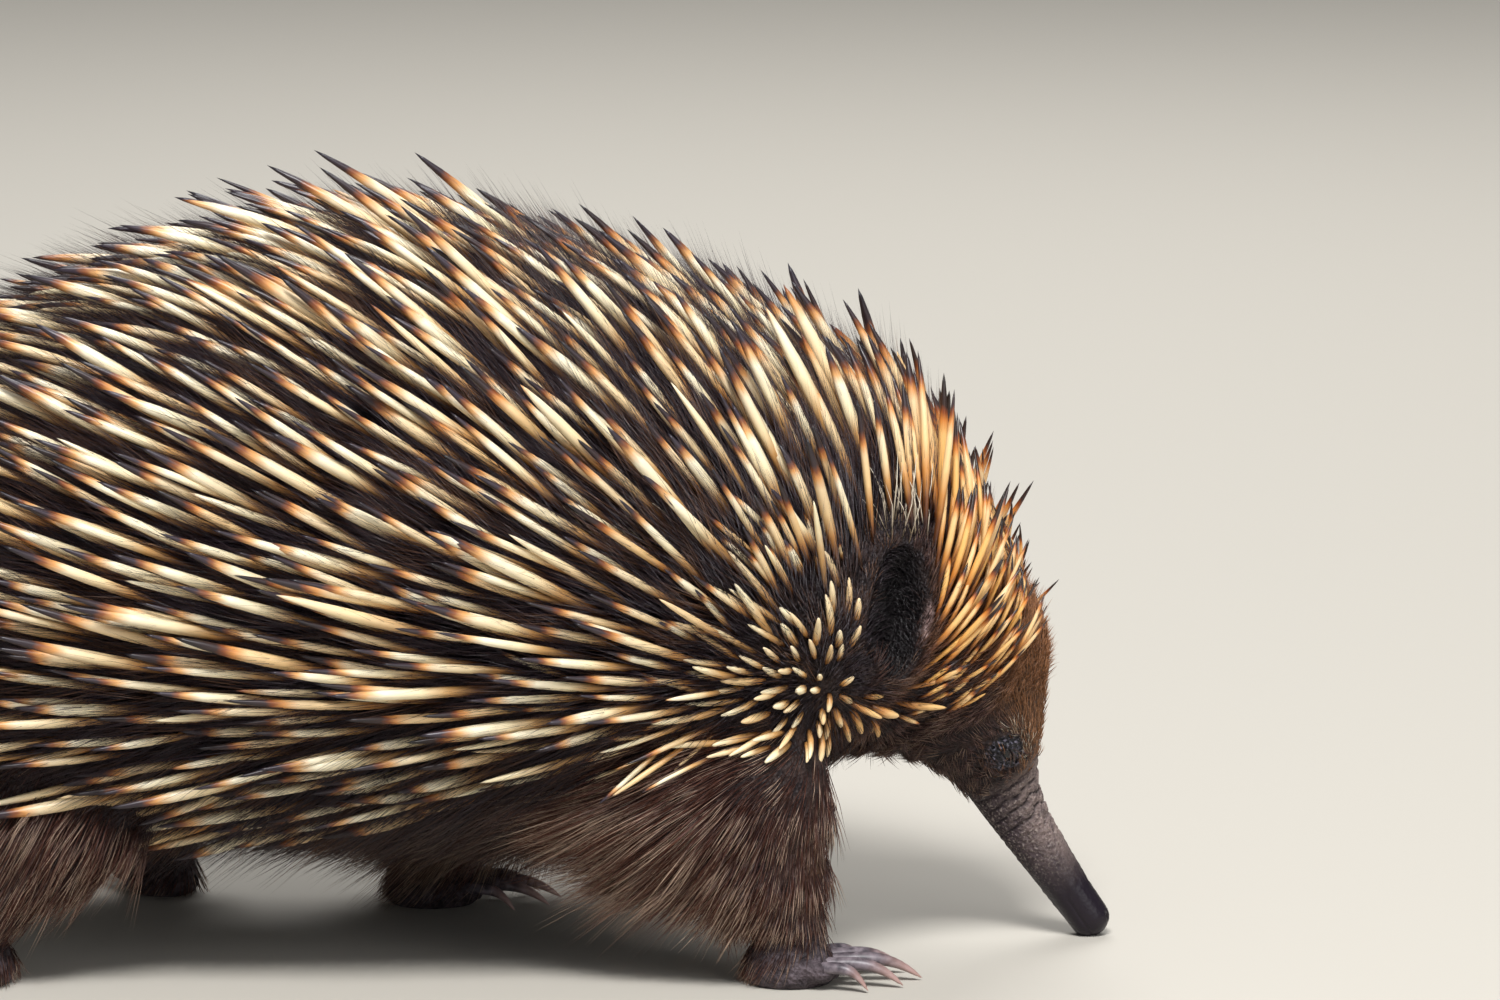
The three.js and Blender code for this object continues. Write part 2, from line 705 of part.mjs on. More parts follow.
// A digging claw: flat-sided, rooted in the foot, arching forward and down to the ground
function clawSolid(leg, digit) {
  const { x, y, heading, long, wide } = leg.foot;
  const length = leg.claws[digit];
  const fan = radians((digit - 2) * leg.spread);
  const turnAway = radians(leg.side * heading);
  const knuckle = { ahead: long * mix(0.62, 0.4, Math.abs(digit - 2) / 2), side: (digit - 2) * wide * 0.38 };
  const point = (ahead, z) => new THREE.Vector3(
    knuckle.ahead + Math.cos(fan) * ahead,
    -leg.side * (knuckle.side + Math.sin(fan) * ahead),
    z,
  ).applyAxisAngle(new THREE.Vector3(0, 0, 1), turnAway).add(new THREE.Vector3(x, leg.side * y, 0));
  const path = [
    point(0, 5.4),
    point(5 + length * 0.25, 6.3),
    point(5 + length * 0.62, 4.6),
    point(5 + length, 0.7),
  ];
  const across = path[3].clone().sub(path[0]).cross(new THREE.Vector3(0, 0, 1)).normalize();
  const size = leg.clawWidth * mix(0.7, 1, Math.min(1, length / 20));
  return shaft(
    path,
    [1, 1, 0.75, 0].map((share) => share * size),
    [1, 0.9, 0.6, 0].map((share) => share * size * 0.75),
    across,
    5,
  );
}

// Assembly

const cut = {
  tail: distanceAt(tailEnd),
  torso: distanceAt(torsoEnd),
  neck: distanceAt(neckEnd),
  head: distanceAt(headEnd),
};
const sides = [{ name: 'right', sign: -1 }, { name: 'left', sign: 1 }];
const pieces = [];
const join = (solids) => wasm.Manifold.union(solids);

const torsoRange = [cut.tail, cut.torso];
const torsoCore = { from: cut.tail, to: cut.torso, sides: 22, bands: 15 };
const torsoSpines = spinesOver({
  from: cut.tail, to: cut.torso, spacing: spineSpacing, owner: 'torso', seed: 7, sides: 3, grows: spineKind,
});
const torso = join([bodyPart(torsoCore), ...torsoSpines, ...flankLocks(torsoRange)]);

const neckSpines = spinesOver({
  from: cut.torso, to: cut.neck, spacing: neckSpineSpacing, owner: 'neck', seed: 19, sides: 3,
  grows: neckSpineKind,
});
const neckCore = { from: cut.torso, to: cut.neck, sides: 22, bands: 2 };
const neck = join([bodyPart(neckCore), ...neckSpines]);
const headCore = { from: cut.neck, to: cut.head, sides: 20, bands: 8 };
const tailCore = { from: 0, to: cut.tail, sides: 16, bands: 4 };
const clearOf = (...cores) => join(cores.map((core) => bodyPart({ ...core, proud: gap, frontGap: 0 })));
pieces.push(meshFrom(torso.subtract(clearOf(tailCore, neckCore)), 'torso', spinyCoat));

const headSpines = spinesOver({
  from: cut.neck, to: cut.head, spacing: headSpineSpacing, owner: 'head', seed: 23, sides: 3,
  grows: headSpineKind,
});
let head = join([
  bodyPart(headCore),
  ...headSpines,
  ...sides.map(({ sign }) => lidRing(sign)),
]);
head = head.subtract(clearOf(neckCore));
let neckCut = neck.subtract(clearOf(torsoCore, headCore));
for (const { name, sign } of sides) {
  const pocket = earShape(sign, gap);
  const socket = ball(eye.radius + gap, eyePlace(sign), 10, 8);
  head = head.subtract(pocket).subtract(socket);
  neckCut = neckCut.subtract(pocket);
  pieces.push(meshFrom(earCup(sign), `ear_${name}`, earSkin));
  pieces.push(meshFrom(ball(eye.radius, eyePlace(sign)), `eye_${name}`, eyeGlass));
}
pieces.push(meshFrom(neckCut, 'neck', spinyCoat));
pieces.push(meshFrom(head, 'head', faceCoat));

const beakBody = bodyPart({
  from: cut.head, to: bodyLength, sides: 12, bands: 10, frontGap: 0, shape: beakFolds,
});
const beak = join([beakBody, beakTip()])
  .subtract(join([mouthSlit(), ...sides.map(({ sign }) => nostrilPit(sign)), underGround()]));
pieces.push(meshFrom(beak, 'beak', beakSkin));

pieces.push(meshFrom(bodyPart(tailCore), 'tail', bristlyCoat));

legs.forEach((leg, number) => {
  const [top, bottom] = [leg.levels[0].z, footHeight];
  const limb = loft(
    14,
    6,
    (along, turn) => legPoint(leg, mix(top, bottom, along), turn),
    (along) => legMiddle(leg, mix(top, bottom, along)),
  );
  const dressed = join([limb, ...legLocks(leg, 61 + number)]);
  pieces.push(meshFrom(dressed.subtract(clearOf(torsoCore, neckCore)), `leg_${leg.name}`, bristlyCoat));
  pieces.push(meshFrom(footSolid(leg, 0), `foot_${leg.name}`, footSkin));
  const footClearance = footSolid(leg, gap);
  leg.claws.forEach((length, digit) => {
    const claw = clawSolid(leg, digit).subtract(footClearance);
    pieces.push(meshFrom(claw, `claw_${leg.name}_${digit + 1}`, clawHorn));
  });
});

const echidna = new THREE.Group();
echidna.add(...pieces);
const box = new THREE.Box3().setFromObject(echidna, true);
echidna.position.set(-(box.min.x + box.max.x) / 2, -(box.min.y + box.max.y) / 2, 0);

export default echidna;
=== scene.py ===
import json
import math

import bmesh
import bpy
import numpy as np
from mathutils import Matrix, Vector

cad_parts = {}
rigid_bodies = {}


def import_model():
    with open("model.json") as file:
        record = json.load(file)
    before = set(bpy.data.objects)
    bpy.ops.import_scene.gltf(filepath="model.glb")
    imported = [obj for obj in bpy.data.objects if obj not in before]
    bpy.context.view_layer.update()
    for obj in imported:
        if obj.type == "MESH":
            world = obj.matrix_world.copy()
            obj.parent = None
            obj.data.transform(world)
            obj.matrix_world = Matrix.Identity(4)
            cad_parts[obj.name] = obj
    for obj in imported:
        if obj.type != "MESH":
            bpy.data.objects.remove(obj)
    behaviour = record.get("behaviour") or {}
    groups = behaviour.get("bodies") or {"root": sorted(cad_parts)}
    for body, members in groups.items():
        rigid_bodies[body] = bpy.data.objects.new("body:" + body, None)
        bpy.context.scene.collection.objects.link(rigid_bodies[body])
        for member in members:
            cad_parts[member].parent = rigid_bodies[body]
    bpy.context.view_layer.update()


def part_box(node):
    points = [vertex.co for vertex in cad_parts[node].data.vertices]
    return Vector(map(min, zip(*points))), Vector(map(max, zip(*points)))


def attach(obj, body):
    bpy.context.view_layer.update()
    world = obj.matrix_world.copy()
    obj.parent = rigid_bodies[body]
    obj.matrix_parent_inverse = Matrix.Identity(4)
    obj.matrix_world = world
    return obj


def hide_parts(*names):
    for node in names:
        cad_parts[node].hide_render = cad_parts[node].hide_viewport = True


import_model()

# The view: a long lens from the animal's right side, a little above it. Sizes of the body are
# in millimetres from the first drawing, and to_frame carries them to the frame.
beak_low, beak_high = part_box("beak")
beak_tip_drawn = 0.31704
body_place = Vector((beak_high.x - beak_tip_drawn, (beak_low.y + beak_high.y) / 2, 0))
to_frame = Matrix.Translation(body_place) @ Matrix.Scale(0.001, 4)
view_target = body_place + Vector((0.21375, 0, 0.1268))
view_height = math.radians(10)
view_distance = 2.4


def shown(name, data):
    """A new object in the scene."""
    made = bpy.data.objects.new(name, data)
    bpy.context.scene.collection.objects.link(made)
    return made


camera_data = bpy.data.cameras.new("camera")
camera_data.sensor_width = 36
camera_data.lens = 202
camera_data.clip_end = 50
camera = shown("camera", camera_data)
view_back = Vector((0, -math.cos(view_height), math.sin(view_height)))
camera.location = view_target + view_back * view_distance
camera.rotation_euler = view_back.to_track_quat("Z", "Y").to_euler()
bpy.context.scene.camera = camera

# The skin: one hide over trunk, neck, head, beak, tail, ears, legs and feet. It is drawn over
# cross sections of the body, given by x, z, tilt, half width, reach above and reach below, and
# joined to the legs and toes. Then it gets its ears, lids, mouth, nostrils and folds.
body_sections = np.array([
    (-88, 40, -62, 5, 4, 4),
    (-80, 51, -56, 12, 8, 8),
    (-69, 65, -42, 25, 18, 17),
    (-57, 75, -30, 43, 33, 31),
    (-37, 84, -20, 59, 48, 45),
    (14, 101, -6, 73, 69, 66),
    (71, 112, 0, 78, 80, 78),
    (128, 114.5, 0, 78, 82, 80),
    (183, 107.5, 4, 73, 74, 72),
    (222, 99.5, 10, 64, 62, 60),
    (244, 93, 22, 53, 51, 49),
    (261, 84.5, 38, 39, 38, 36),
    (277, 71, 50, 26, 27, 26),
    (284, 54.5, 57, 16, 15.5, 15),
    (289.7, 38, 57, 9.5, 9, 9),
    (303.7, 15.8, 57, 6.4, 6.4, 6.4),
    (311.2, 5.2, 57, 5.8, 5.8, 5.8),
])
section_steps = np.hypot(np.diff(body_sections[:, 0]), np.diff(body_sections[:, 1]))
stations = np.concatenate([[0], np.cumsum(section_steps)])
body_length = stations[-1]
station_slopes = np.empty_like(body_sections)
station_slopes[1:-1] = (body_sections[2:] - body_sections[:-2]) / (stations[2:] - stations[:-2])[:, None]
station_slopes[0] = (body_sections[1] - body_sections[0]) / section_steps[0]
station_slopes[-1] = (body_sections[-1] - body_sections[-2]) / section_steps[-1]
belly_power = 2.5
ground_gap = 0.15


def ease(value, start, end):
    t = np.clip((value - start) / (end - start), 0, 1)
    return t * t * (3 - 2 * t)


def mix(a, b, share):
    return a + (b - a) * share


def unit(vectors):
    return vectors / np.maximum(np.linalg.norm(vectors, axis=-1, keepdims=True), 1e-9)


def body_measures(distance):
    """x, z, tilt, half width, reach above and below of the body at each distance along it."""
    i = np.clip(np.searchsorted(stations, distance), 1, len(stations) - 1)
    span = (stations[i] - stations[i - 1])[:, None]
    t = np.clip((distance - stations[i - 1]) / span[:, 0], 0, 1)[:, None]
    start = body_sections[i - 1] * (1 + 2 * t) * (1 - t) ** 2
    end = body_sections[i] * t * t * (3 - 2 * t)
    bow = station_slopes[i - 1] * t * (1 - t) ** 2 - station_slopes[i] * t * t * (1 - t)
    return start + end + span * bow


def body_axes(distance):
    """The middle of the body, and the ways ahead and above, at each distance along it."""
    x, z, tilt = body_measures(distance)[:, :3].T
    lean = np.radians(tilt)
    none = np.zeros_like(x)
    middle = np.stack([x, none, z], 1)
    ahead = np.stack([np.cos(lean), none, -np.sin(lean)], 1)
    above = np.stack([np.sin(lean), none, np.cos(lean)], 1)
    return middle, ahead, above


def body_surface(distance, turn, scale, push):
    """Points on the body's surface at a turn round it, scaled and pushed ahead for its ends."""
    half, above_reach, below_reach = body_measures(distance)[:, 3:].T
    middle, ahead, above = body_axes(distance)
    rise, across = np.cos(turn), np.sin(turn)
    power = np.where(rise < 0, 2 / belly_power, 1)
    reach = np.where(rise < 0, below_reach, above_reach)
    up = reach * np.sign(rise) * np.abs(rise) ** power * scale
    point = middle + above * up[:, None] + ahead * push[:, None]
    point[:, 1] += half * np.sign(across) * np.abs(across) ** power * scale
    return point


def distance_at(x):
    """How far along the body its middle reaches x."""
    low, high = 0.0, body_length
    for _ in range(30):
        half = (low + high) / 2
        if body_measures(np.array([half]))[0, 0] < x:
            low = half
        else:
            high = half
    return low


def turn_outward(shell):
    if shell.calc_volume(signed=True) < 0:
        bmesh.ops.reverse_faces(shell, faces=shell.faces)


def tube(name, points, uv):
    """A closed tube from rings of points (rings, columns, 3), its ends drawn to a point."""
    rings, columns = points.shape[:2]
    verts = [tuple(p) for p in points.reshape(-1, 3)]
    rear, front = len(verts), len(verts) + 1
    verts += [tuple(points[0].mean(0)), tuple(points[-1].mean(0))]
    faces, corners = [], []
    for r in range(rings - 1):
        for c in range(columns):
            here, beyond, d = r * columns, (r + 1) * columns, (c + 1) % columns
            faces.append((here + c, here + d, beyond + d, beyond + c))
            corners += [uv(r, c), uv(r, c + 1), uv(r + 1, c + 1), uv(r + 1, c)]
    last = rings - 1
    for c in range(columns):
        d = (c + 1) % columns
        faces += [(rear, d, c), (front, last * columns + c, last * columns + d)]
        corners += [uv(0, c + 0.5), uv(0, c + 1), uv(0, c)]
        corners += [uv(last, c + 0.5), uv(last, c), uv(last, c + 1)]
    mesh = bpy.data.meshes.new(name)
    mesh.from_pydata(verts, [], faces)
    layer = mesh.uv_layers.new(name="OFBake")
    layer.data.foreach_set("uv", np.array(corners, np.float32).ravel())
    shell = bmesh.new()
    shell.from_mesh(mesh)
    turn_outward(shell)
    shell.to_mesh(mesh)
    shell.free()
    return shown(name, mesh)


body_columns = 160
neck_start = distance_at(222)
head_start = distance_at(249)
cheek = distance_at(274)
beak_start = distance_at(289.7)
ring_places = np.concatenate([
    np.arange(0, neck_start, 4.0),
    np.arange(neck_start, head_start, 2.6),
    np.arange(head_start, cheek, 1.4),
    np.arange(cheek, beak_start - 14, 0.8),
    np.arange(beak_start - 14, beak_start + 13, 0.4),
    np.arange(beak_start + 13, body_length, 0.8),
    [body_length],
])
tail_cap_long, tail_cap = 4.0, np.radians([75, 55, 35, 17])
beak_cap_long, beak_cap = 5.8, np.radians([12, 24, 36, 48, 60, 70, 80])
ring_distance = np.concatenate([np.zeros(len(tail_cap)), ring_places, np.full(len(beak_cap), body_length)])
ring_scale = np.concatenate([np.cos(tail_cap), np.ones(len(ring_places)), np.cos(beak_cap)])
ring_push = np.concatenate([
    -tail_cap_long * np.sin(tail_cap), np.zeros(len(ring_places)), beak_cap_long * np.sin(beak_cap)])
ring_count = len(ring_distance)
body_turns = np.linspace(-np.pi, np.pi, body_columns, endpoint=False)
spread_rings = [np.repeat(values, body_columns) for values in (ring_distance, ring_scale, ring_push)]
grid = body_surface(spread_rings[0], np.tile(body_turns, ring_count), *spread_rings[1:])
body_chart = 0.66
skin = tube("skin", grid.reshape(ring_count, body_columns, 3),
            lambda r, c: (c / body_columns, 0.005 + body_chart * r / ring_count))

# Each leg, from the shoulder or hip down: height, x, y, half length and half width of its
# levels, then its foot (x, y, turn, half length, half width), the claws' lengths from the
# inner to the outer, and the angle between them.
legs = [
    dict(name="fore_right", side=-1, levels=[
        (90, 204, 38, 20, 8), (72, 201, 48, 33, 18), (52, 203, 54, 33, 19),
        (34, 212, 57, 23, 16), (21, 221, 60, 13, 12), (12, 224, 60, 10, 10)],
        foot=(225, 60, -3, 13, 11.5), claws=(12, 20, 24, 22, 14), spread=11),
    dict(name="fore_left", side=1, levels=[
        (90, 200, 38, 20, 8), (72, 192, 48, 31, 17), (52, 173, 51, 30, 17),
        (34, 149, 48, 21, 14), (21, 128, 44, 13, 11), (12, 119, 42, 10, 9.5)],
        foot=(121, 42, 4, 14, 12), claws=(12, 20, 24, 22, 14), spread=11),
    dict(name="hind_right", side=-1, levels=[
        (88, 12, 38, 20, 8), (68, 15, 48, 36, 18), (48, 16, 53, 37, 20),
        (32, 8, 56, 26, 17), (21, 0, 59, 14, 12), (12, -3, 60, 10, 10)],
        foot=(-5, 62, 128, 15, 11), claws=(7, 32, 22, 13, 8), spread=10),
    dict(name="hind_left", side=1, levels=[
        (88, 22, 38, 20, 8), (68, 28, 48, 36, 18), (48, 36, 52, 35, 19),
        (32, 40, 55, 25, 16), (21, 42, 57, 14, 12), (12, 42, 58, 10, 10)],
        foot=(40, 60, 112, 15, 11), claws=(7, 32, 22, 13, 8), spread=10),
]


def leg_measures(leg, z):
    """x, y, half length and half width of a leg at each height."""
    levels = np.array(leg["levels"], float)[::-1]
    x, y = (np.interp(z, levels[:, 0], levels[:, k]) for k in (1, 2))
    i = np.clip(np.searchsorted(levels[:, 0], z), 1, len(levels) - 1)
    t = ease(z, levels[i - 1, 0], levels[i, 0])
    long, wide = (mix(levels[i - 1, k], levels[i, k], t) for k in (3, 4))
    return x, leg["side"] * y, long, wide


def toe_root(leg, digit):
    """Where a toe leaves its foot, and the way that it points."""
    x, y, turn, long, wide = leg["foot"]
    spread = math.radians((digit - 2) * leg["spread"])
    ahead = long * mix(0.62, 0.4, abs(digit - 2) / 2)
    turned = Matrix.Rotation(math.radians(leg["side"] * turn), 3, "Z")
    way = turned @ Vector((math.cos(spread), -leg["side"] * math.sin(spread), 0))
    root = turned @ Vector((ahead, -leg["side"] * (digit - 2) * wide * 0.38, 0))
    return root + Vector((x, leg["side"] * y, 0)), way


leg_columns = 48
toe_rings, toe_columns = 12, 16
leg_turns = np.linspace(0, 2 * np.pi, leg_columns, endpoint=False)
toe_turns = np.linspace(0, 2 * np.pi, toe_columns, endpoint=False)
along_toe = np.linspace(0, 1, toe_rings)
limbs = bpy.data.collections.new("limbs")
for number, leg in enumerate(legs):
    foot_x, foot_y, foot_turn, foot_long, foot_wide = leg["foot"]
    foot_turn = math.radians(leg["side"] * foot_turn)
    heights = np.concatenate([np.linspace(leg["levels"][0][0], 24, 34), np.linspace(22.5, 0.0, 22)])
    limb = np.zeros((len(heights), leg_columns, 3))
    foot_reach = np.interp(heights, [0, 1.2, 4, 9, 12, 20], [0.86, 0.95, 1.0, 0.88, 0.76, 0.7])
    share = ease(heights, 21, 9)
    leg_x, leg_y, leg_long, leg_wide = leg_measures(leg, heights)
    long_way = np.array([math.cos(foot_turn), math.sin(foot_turn)])
    side_way = np.array([-math.sin(foot_turn), math.cos(foot_turn)])
    for r, z in enumerate(heights):
        foot_edge = (np.cos(leg_turns - foot_turn)[:, None] * long_way * foot_long
                     + np.sin(leg_turns - foot_turn)[:, None] * side_way * foot_wide) * foot_reach[r]
        foot_edge += (foot_x, leg["side"] * foot_y)
        leg_edge = np.stack([leg_x[r] + np.cos(leg_turns) * leg_long[r],
                             leg_y[r] + np.sin(leg_turns) * leg_wide[r]], 1)
        limb[r, :, :2] = mix(leg_edge, foot_edge, share[r])
        limb[r, :, 2] = max(z, ground_gap)
    limbs.objects.link(tube("leg", limb, lambda r, c: (
        (number + 0.02 + 0.96 * c / leg_columns) / 4, 0.68 + 0.22 * r / len(heights))))
    for digit, claw_long in enumerate(leg["claws"]):
        root, way = toe_root(leg, digit)
        thick = 2.9 + claw_long * 0.03
        toe_long = 6.5 + claw_long * 0.12
        girth = np.sqrt(np.clip(1 - (2 * along_toe - 1) ** 4, 0.02, 1)) * mix(1.15, 0.82, along_toe)
        toe = np.zeros((toe_rings, toe_columns, 3))
        side_way = np.array([-way.y, way.x, 0])
        for r in range(toe_rings):
            middle = np.array(root) + np.array(way) * (along_toe[r] * toe_long * 1.6 - toe_long * 0.75)
            middle[2] = mix(5.6, 4.6, along_toe[r])
            toe[r] = middle + np.cos(toe_turns)[:, None] * side_way * thick * girth[r]
            toe[r, :, 2] += np.sin(toe_turns) * thick * girth[r] * 1.05
        toe[:, :, 2] = np.maximum(toe[:, :, 2], ground_gap + 0.3)
        toe_chart = (number * 5 + digit) / 20
        limbs.objects.link(tube("toe", toe, lambda r, c: (
            toe_chart + 0.045 * c / toe_columns, 0.92 + 0.07 * r / toe_rings)))

join = skin.modifiers.new("join", "BOOLEAN")
join.operation = "UNION"
join.operand_type = "COLLECTION"
join.collection = limbs
join.solver = "MANIFOLD"
joined = bpy.data.meshes.new_from_object(skin.evaluated_get(bpy.context.evaluated_depsgraph_get()))
skin.modifiers.clear()
skin.data = joined
for limb_piece in list(limbs.objects):
    bpy.data.objects.remove(limb_piece)
bpy.data.collections.remove(limbs)


def mesh_points(mesh):
    """The places of a mesh's vertices, and the ways that they face."""
    found = []
    for kind in ("co", "normal"):
        values = np.zeros(len(mesh.vertices) * 3, np.float32)
        mesh.vertices.foreach_get(kind, values)
        found.append(values.reshape(-1, 3).astype(float))
    return found


def chart_of(mesh):
    """For each vertex the least and the greatest height of its corners in the unwrap."""
    heights = np.zeros(len(mesh.loops) * 2, np.float32)
    mesh.uv_layers["OFBake"].data.foreach_get("uv", heights)
    corner = np.zeros(len(mesh.loops), int)
    mesh.loops.foreach_get("vertex_index", corner)
    least = np.full(len(mesh.vertices), 9.0)
    most = -least
    np.minimum.at(least, corner, heights[1::2])
    np.maximum.at(most, corner, heights[1::2])
    return least, most


# Flesh swells where legs and toes leave the body, so the joins are smoothed. In the unwrap the
# body lies below a height of 0.67, the legs from there to 0.91 and the toes above them.
chart_low, chart_high = chart_of(skin.data)
flesh = bmesh.new()
flesh.from_mesh(skin.data)
flesh.verts.ensure_lookup_table()
leg_joins = (chart_low < 0.67) & (chart_high > 0.675)
toe_joins = (chart_low < 0.91) & (chart_high > 0.915)
for joins, rings_round, rounds in ((leg_joins, 5, 24), (toe_joins, 1, 5)):
    near = {flesh.verts[int(i)] for i in np.nonzero(joins)[0]}
    for _ in range(rings_round):
        near |= {e.other_vert(v) for v in near for e in v.link_edges}
    for _ in range(rounds):
        bmesh.ops.smooth_vert(flesh, verts=list(near), factor=0.5,
                              use_axis_x=True, use_axis_y=True, use_axis_z=True)


def refine(middle, radius):
    """Halves the faces within a radius of a point on the skin."""
    edges = [e for e in flesh.edges if all((v.co - middle).length < radius for v in e.verts)]
    bmesh.ops.subdivide_edges(flesh, edges=edges, cuts=1, use_grid_fill=True)


eye_radius = 4.0
eyes = []
for name, side in (("eye_right", -1), ("eye_left", 1)):
    low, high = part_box(name)
    eyes.append(dict(name=name, side=side, middle=((low + high) / 2 - body_place) * 1000))
ear_place = Vector((256.5, 0, 101))
ear_spots = []
for side in (-1, 1):
    candidates = [v.co for v in flesh.verts if v.co.y * side > 0 and v.co.z > 60 and v.co.x > 220]
    spot = min(candidates, key=lambda co: (co.x - ear_place.x) ** 2 + (co.z - ear_place.z) ** 2)
    ear_spots.append(spot.copy())
for eye in eyes:
    refine(eye["middle"], 13)
    refine(eye["middle"], 9.5)
for spot in ear_spots:
    refine(spot, 28)
flesh.normal_update()
flesh.to_mesh(skin.data)
flesh.free()

place, facing = mesh_points(skin.data)
on_leg = chart_of(skin.data)[1] > 0.675
on_body = 1 - on_leg
blank = np.zeros(len(place))
body_steps = np.linspace(0, body_length, 700)
line_middle, line_ahead, line_above = body_axes(body_steps)
along_body = blank.copy()
best = np.full(len(place), 1e9)
for k in range(len(body_steps)):
    offset = place - line_middle[k]
    gap_here = np.abs(offset @ line_ahead[k]) + 0.02 * np.linalg.norm(offset, axis=1)
    nearer = gap_here < best
    best[nearer] = gap_here[nearer]
    along_body[nearer] = body_steps[k]
head_share = ease(along_body, head_start - 6, head_start + 10)
beak_share = ease(along_body, beak_start - 13, beak_start - 6)


def wave(points, scale, seed):
    """A smooth random swell, from -1 to 1, with about the given size in millimetres."""
    phases = np.random.default_rng(seed)
    total = np.zeros(len(points))
    for _ in range(7):
        way = unit(phases.normal(size=3))
        turns = points @ way * (2 * np.pi / scale) * phases.uniform(0.6, 1.5)
        total += np.sin(turns + phases.uniform(0, 6.3))
    return total / 3.2


# The ear is a tall slit in the side of the head: a hollow in the hide, furry inside and
# painted darker there as shade, with a low rim round it that is naked and pinkish in front.
ear_lean = math.radians(10)
ear_half_long, ear_half_wide, ear_depth = 19.5, 10.0, 10.0
ear_hollow = ear_rim = blank
ears = []
for spot in ear_spots:
    spot = np.array(spot)
    out = facing[np.argmin(np.linalg.norm(place - spot, axis=1))]
    upright = np.array([math.sin(ear_lean), 0, math.cos(ear_lean)])
    upright = unit(upright - out * (upright @ out))
    front = np.cross(upright, out)
    ears.append((spot, out, upright, front * np.sign(front[0])))


def ear_reach(points, ear):
    """How far points lie from the middle of an ear, 1 at its edge, and how far ahead and above it."""
    spot, out, upright, front = ear
    offset = points - spot
    high = offset @ upright
    ahead_of = offset @ front - 1.6 * (high / ear_half_long) ** 2 + 0.8
    span = np.hypot(high / ear_half_long, ahead_of / ear_half_wide)
    near_side = (np.abs(offset @ out) < 26) & (points[:, 1] * spot[1] > 0)
    return np.where(near_side, span, 9), ahead_of, high


moved = place.copy()
for ear in ears:
    out, front = ear[1], ear[3]
    span, ahead_of, high = ear_reach(place, ear)
    span = span + 0.05 * wave(place, 14, 77)
    front_side = ease(ahead_of, -2, 4)
    rim = ease(span, 1.35, 1.1) * ease(span, 0.92, 1.06)
    moved -= out * (ease(span, 1.06, 0.6) * ear_depth)[:, None]
    moved += out * (rim * mix(0.3, 1.0, front_side))[:, None]
    moved -= front * (rim * front_side * 0.6)[:, None]
    ear_hollow = np.maximum(ear_hollow, ease(span, 1.06, 0.9))
    naked = ease(span, 1.2, 1.1) * ease(span, 0.94, 1.04) * front_side * ease(np.abs(high + 1), 8, 3)
    ear_rim = np.maximum(ear_rim, naked)

# The lids: the hide swells round each eye, is wrinkled and naked next to it, closes over the
# ball and opens in a small almond. Fine hairs grow above it.
lid_swell, lid_thick, lid_soft = 2.1, 0.7, 1.4
almond_long, almond_high = 2.5, 1.35
eye_naked = lash_cover = blank
for eye in eyes:
    middle = np.array(eye["middle"])
    nearest = np.argmin(np.linalg.norm(place - middle - np.array([0, 3.0 * eye["side"], 0]), axis=1))
    out = facing[nearest]
    ahead = line_ahead[np.argmin(np.abs(body_steps - along_body[nearest]))]
    ahead = unit(ahead - out * (ahead @ out))
    upper = np.cross(ahead, out) * eye["side"]
    eye["out"], eye["ahead"], eye["upper"] = out, ahead, upper
    offset = moved - middle
    height, toward_beak, toward_brow = offset @ out, offset @ ahead, offset @ upper
    radius = np.hypot(toward_beak, toward_brow)
    around = np.arctan2(toward_brow, toward_beak)
    near = (height > -6) & (radius < 20)
    rings_of_skin = radius * 3.2 + 1.6 * np.sin(3 * around + 1) + 2.2 * wave(place, 5, 5)
    folds = 0.12 * np.sin(rings_of_skin) * ease(radius, 2.2, 3.6) * ease(radius, 10, 6.5)
    rays = around * 11 + 1.5 * wave(place, 8, 6)
    folds += 0.34 * np.sin(rays) * ease(radius, 4.5, 7) * ease(radius, 16, 10) * ease(toward_beak, -2, 5)
    folds += 0.36 * wave(place, 2.2, 9) * ease(radius, 2.0, 3.5) * ease(radius, 13, 8)
    natural = height + lid_swell * ease(radius, 17, 6)
    lid_ball = eye_radius + mix(lid_thick, 0.5, ease(toward_brow, 1, -1))
    lid_top = np.sqrt(np.clip(lid_ball ** 2 - radius ** 2, 0, None))
    risen = np.maximum(natural, lid_top) + lid_soft * np.exp(-np.abs(natural - lid_top) / lid_soft) * 0.3
    opening = np.hypot(toward_beak / almond_long,
                       (toward_brow + 0.1) / mix(almond_high, 1.15, ease(toward_brow, 0.4, -0.6)))
    risen = np.where(radius < 8.5, risen + 0.2 * ease(opening, 1.45, 1.1), natural) + folds
    risen = mix(risen, -1.5, ease(opening, 1.07, 0.93))
    moved += out * np.where(near, risen - height, 0)[:, None]
    eye_naked = np.maximum(eye_naked, np.where(near, ease(radius, 6.8, 5.0), 0))
    lashes = ease(radius, 4.6, 5.4) * ease(radius, 9.2, 8.2) * ease(toward_brow, 1.4, 3.0)
    lash_cover = np.maximum(lash_cover, np.where(near, lashes, 0))

# The beak: naked leathery skin, creased across its root and pebbled along its middle. Its tip
# is smooth, with a slit of a mouth below and two nostrils above.
crease_gap = 4.3
line = np.clip(np.searchsorted(body_steps, along_body), 0, len(body_steps) - 1)
spoke = moved - line_middle[line]
beak_turn = np.arctan2(spoke[:, 1], np.einsum("ij,ij->i", spoke, line_above[line]))
past_root = along_body - beak_start
crease = past_root + 1.1 * wave(place, 11, 21) + 1.2 * np.cos(beak_turn)


def grooves(measure, spacing, width):
    """Narrow grooves a given distance apart: 1 at the bottom of each, 0 between them."""
    off = (measure / spacing - np.round(measure / spacing)) * spacing
    return np.exp(-(off / width) ** 2)


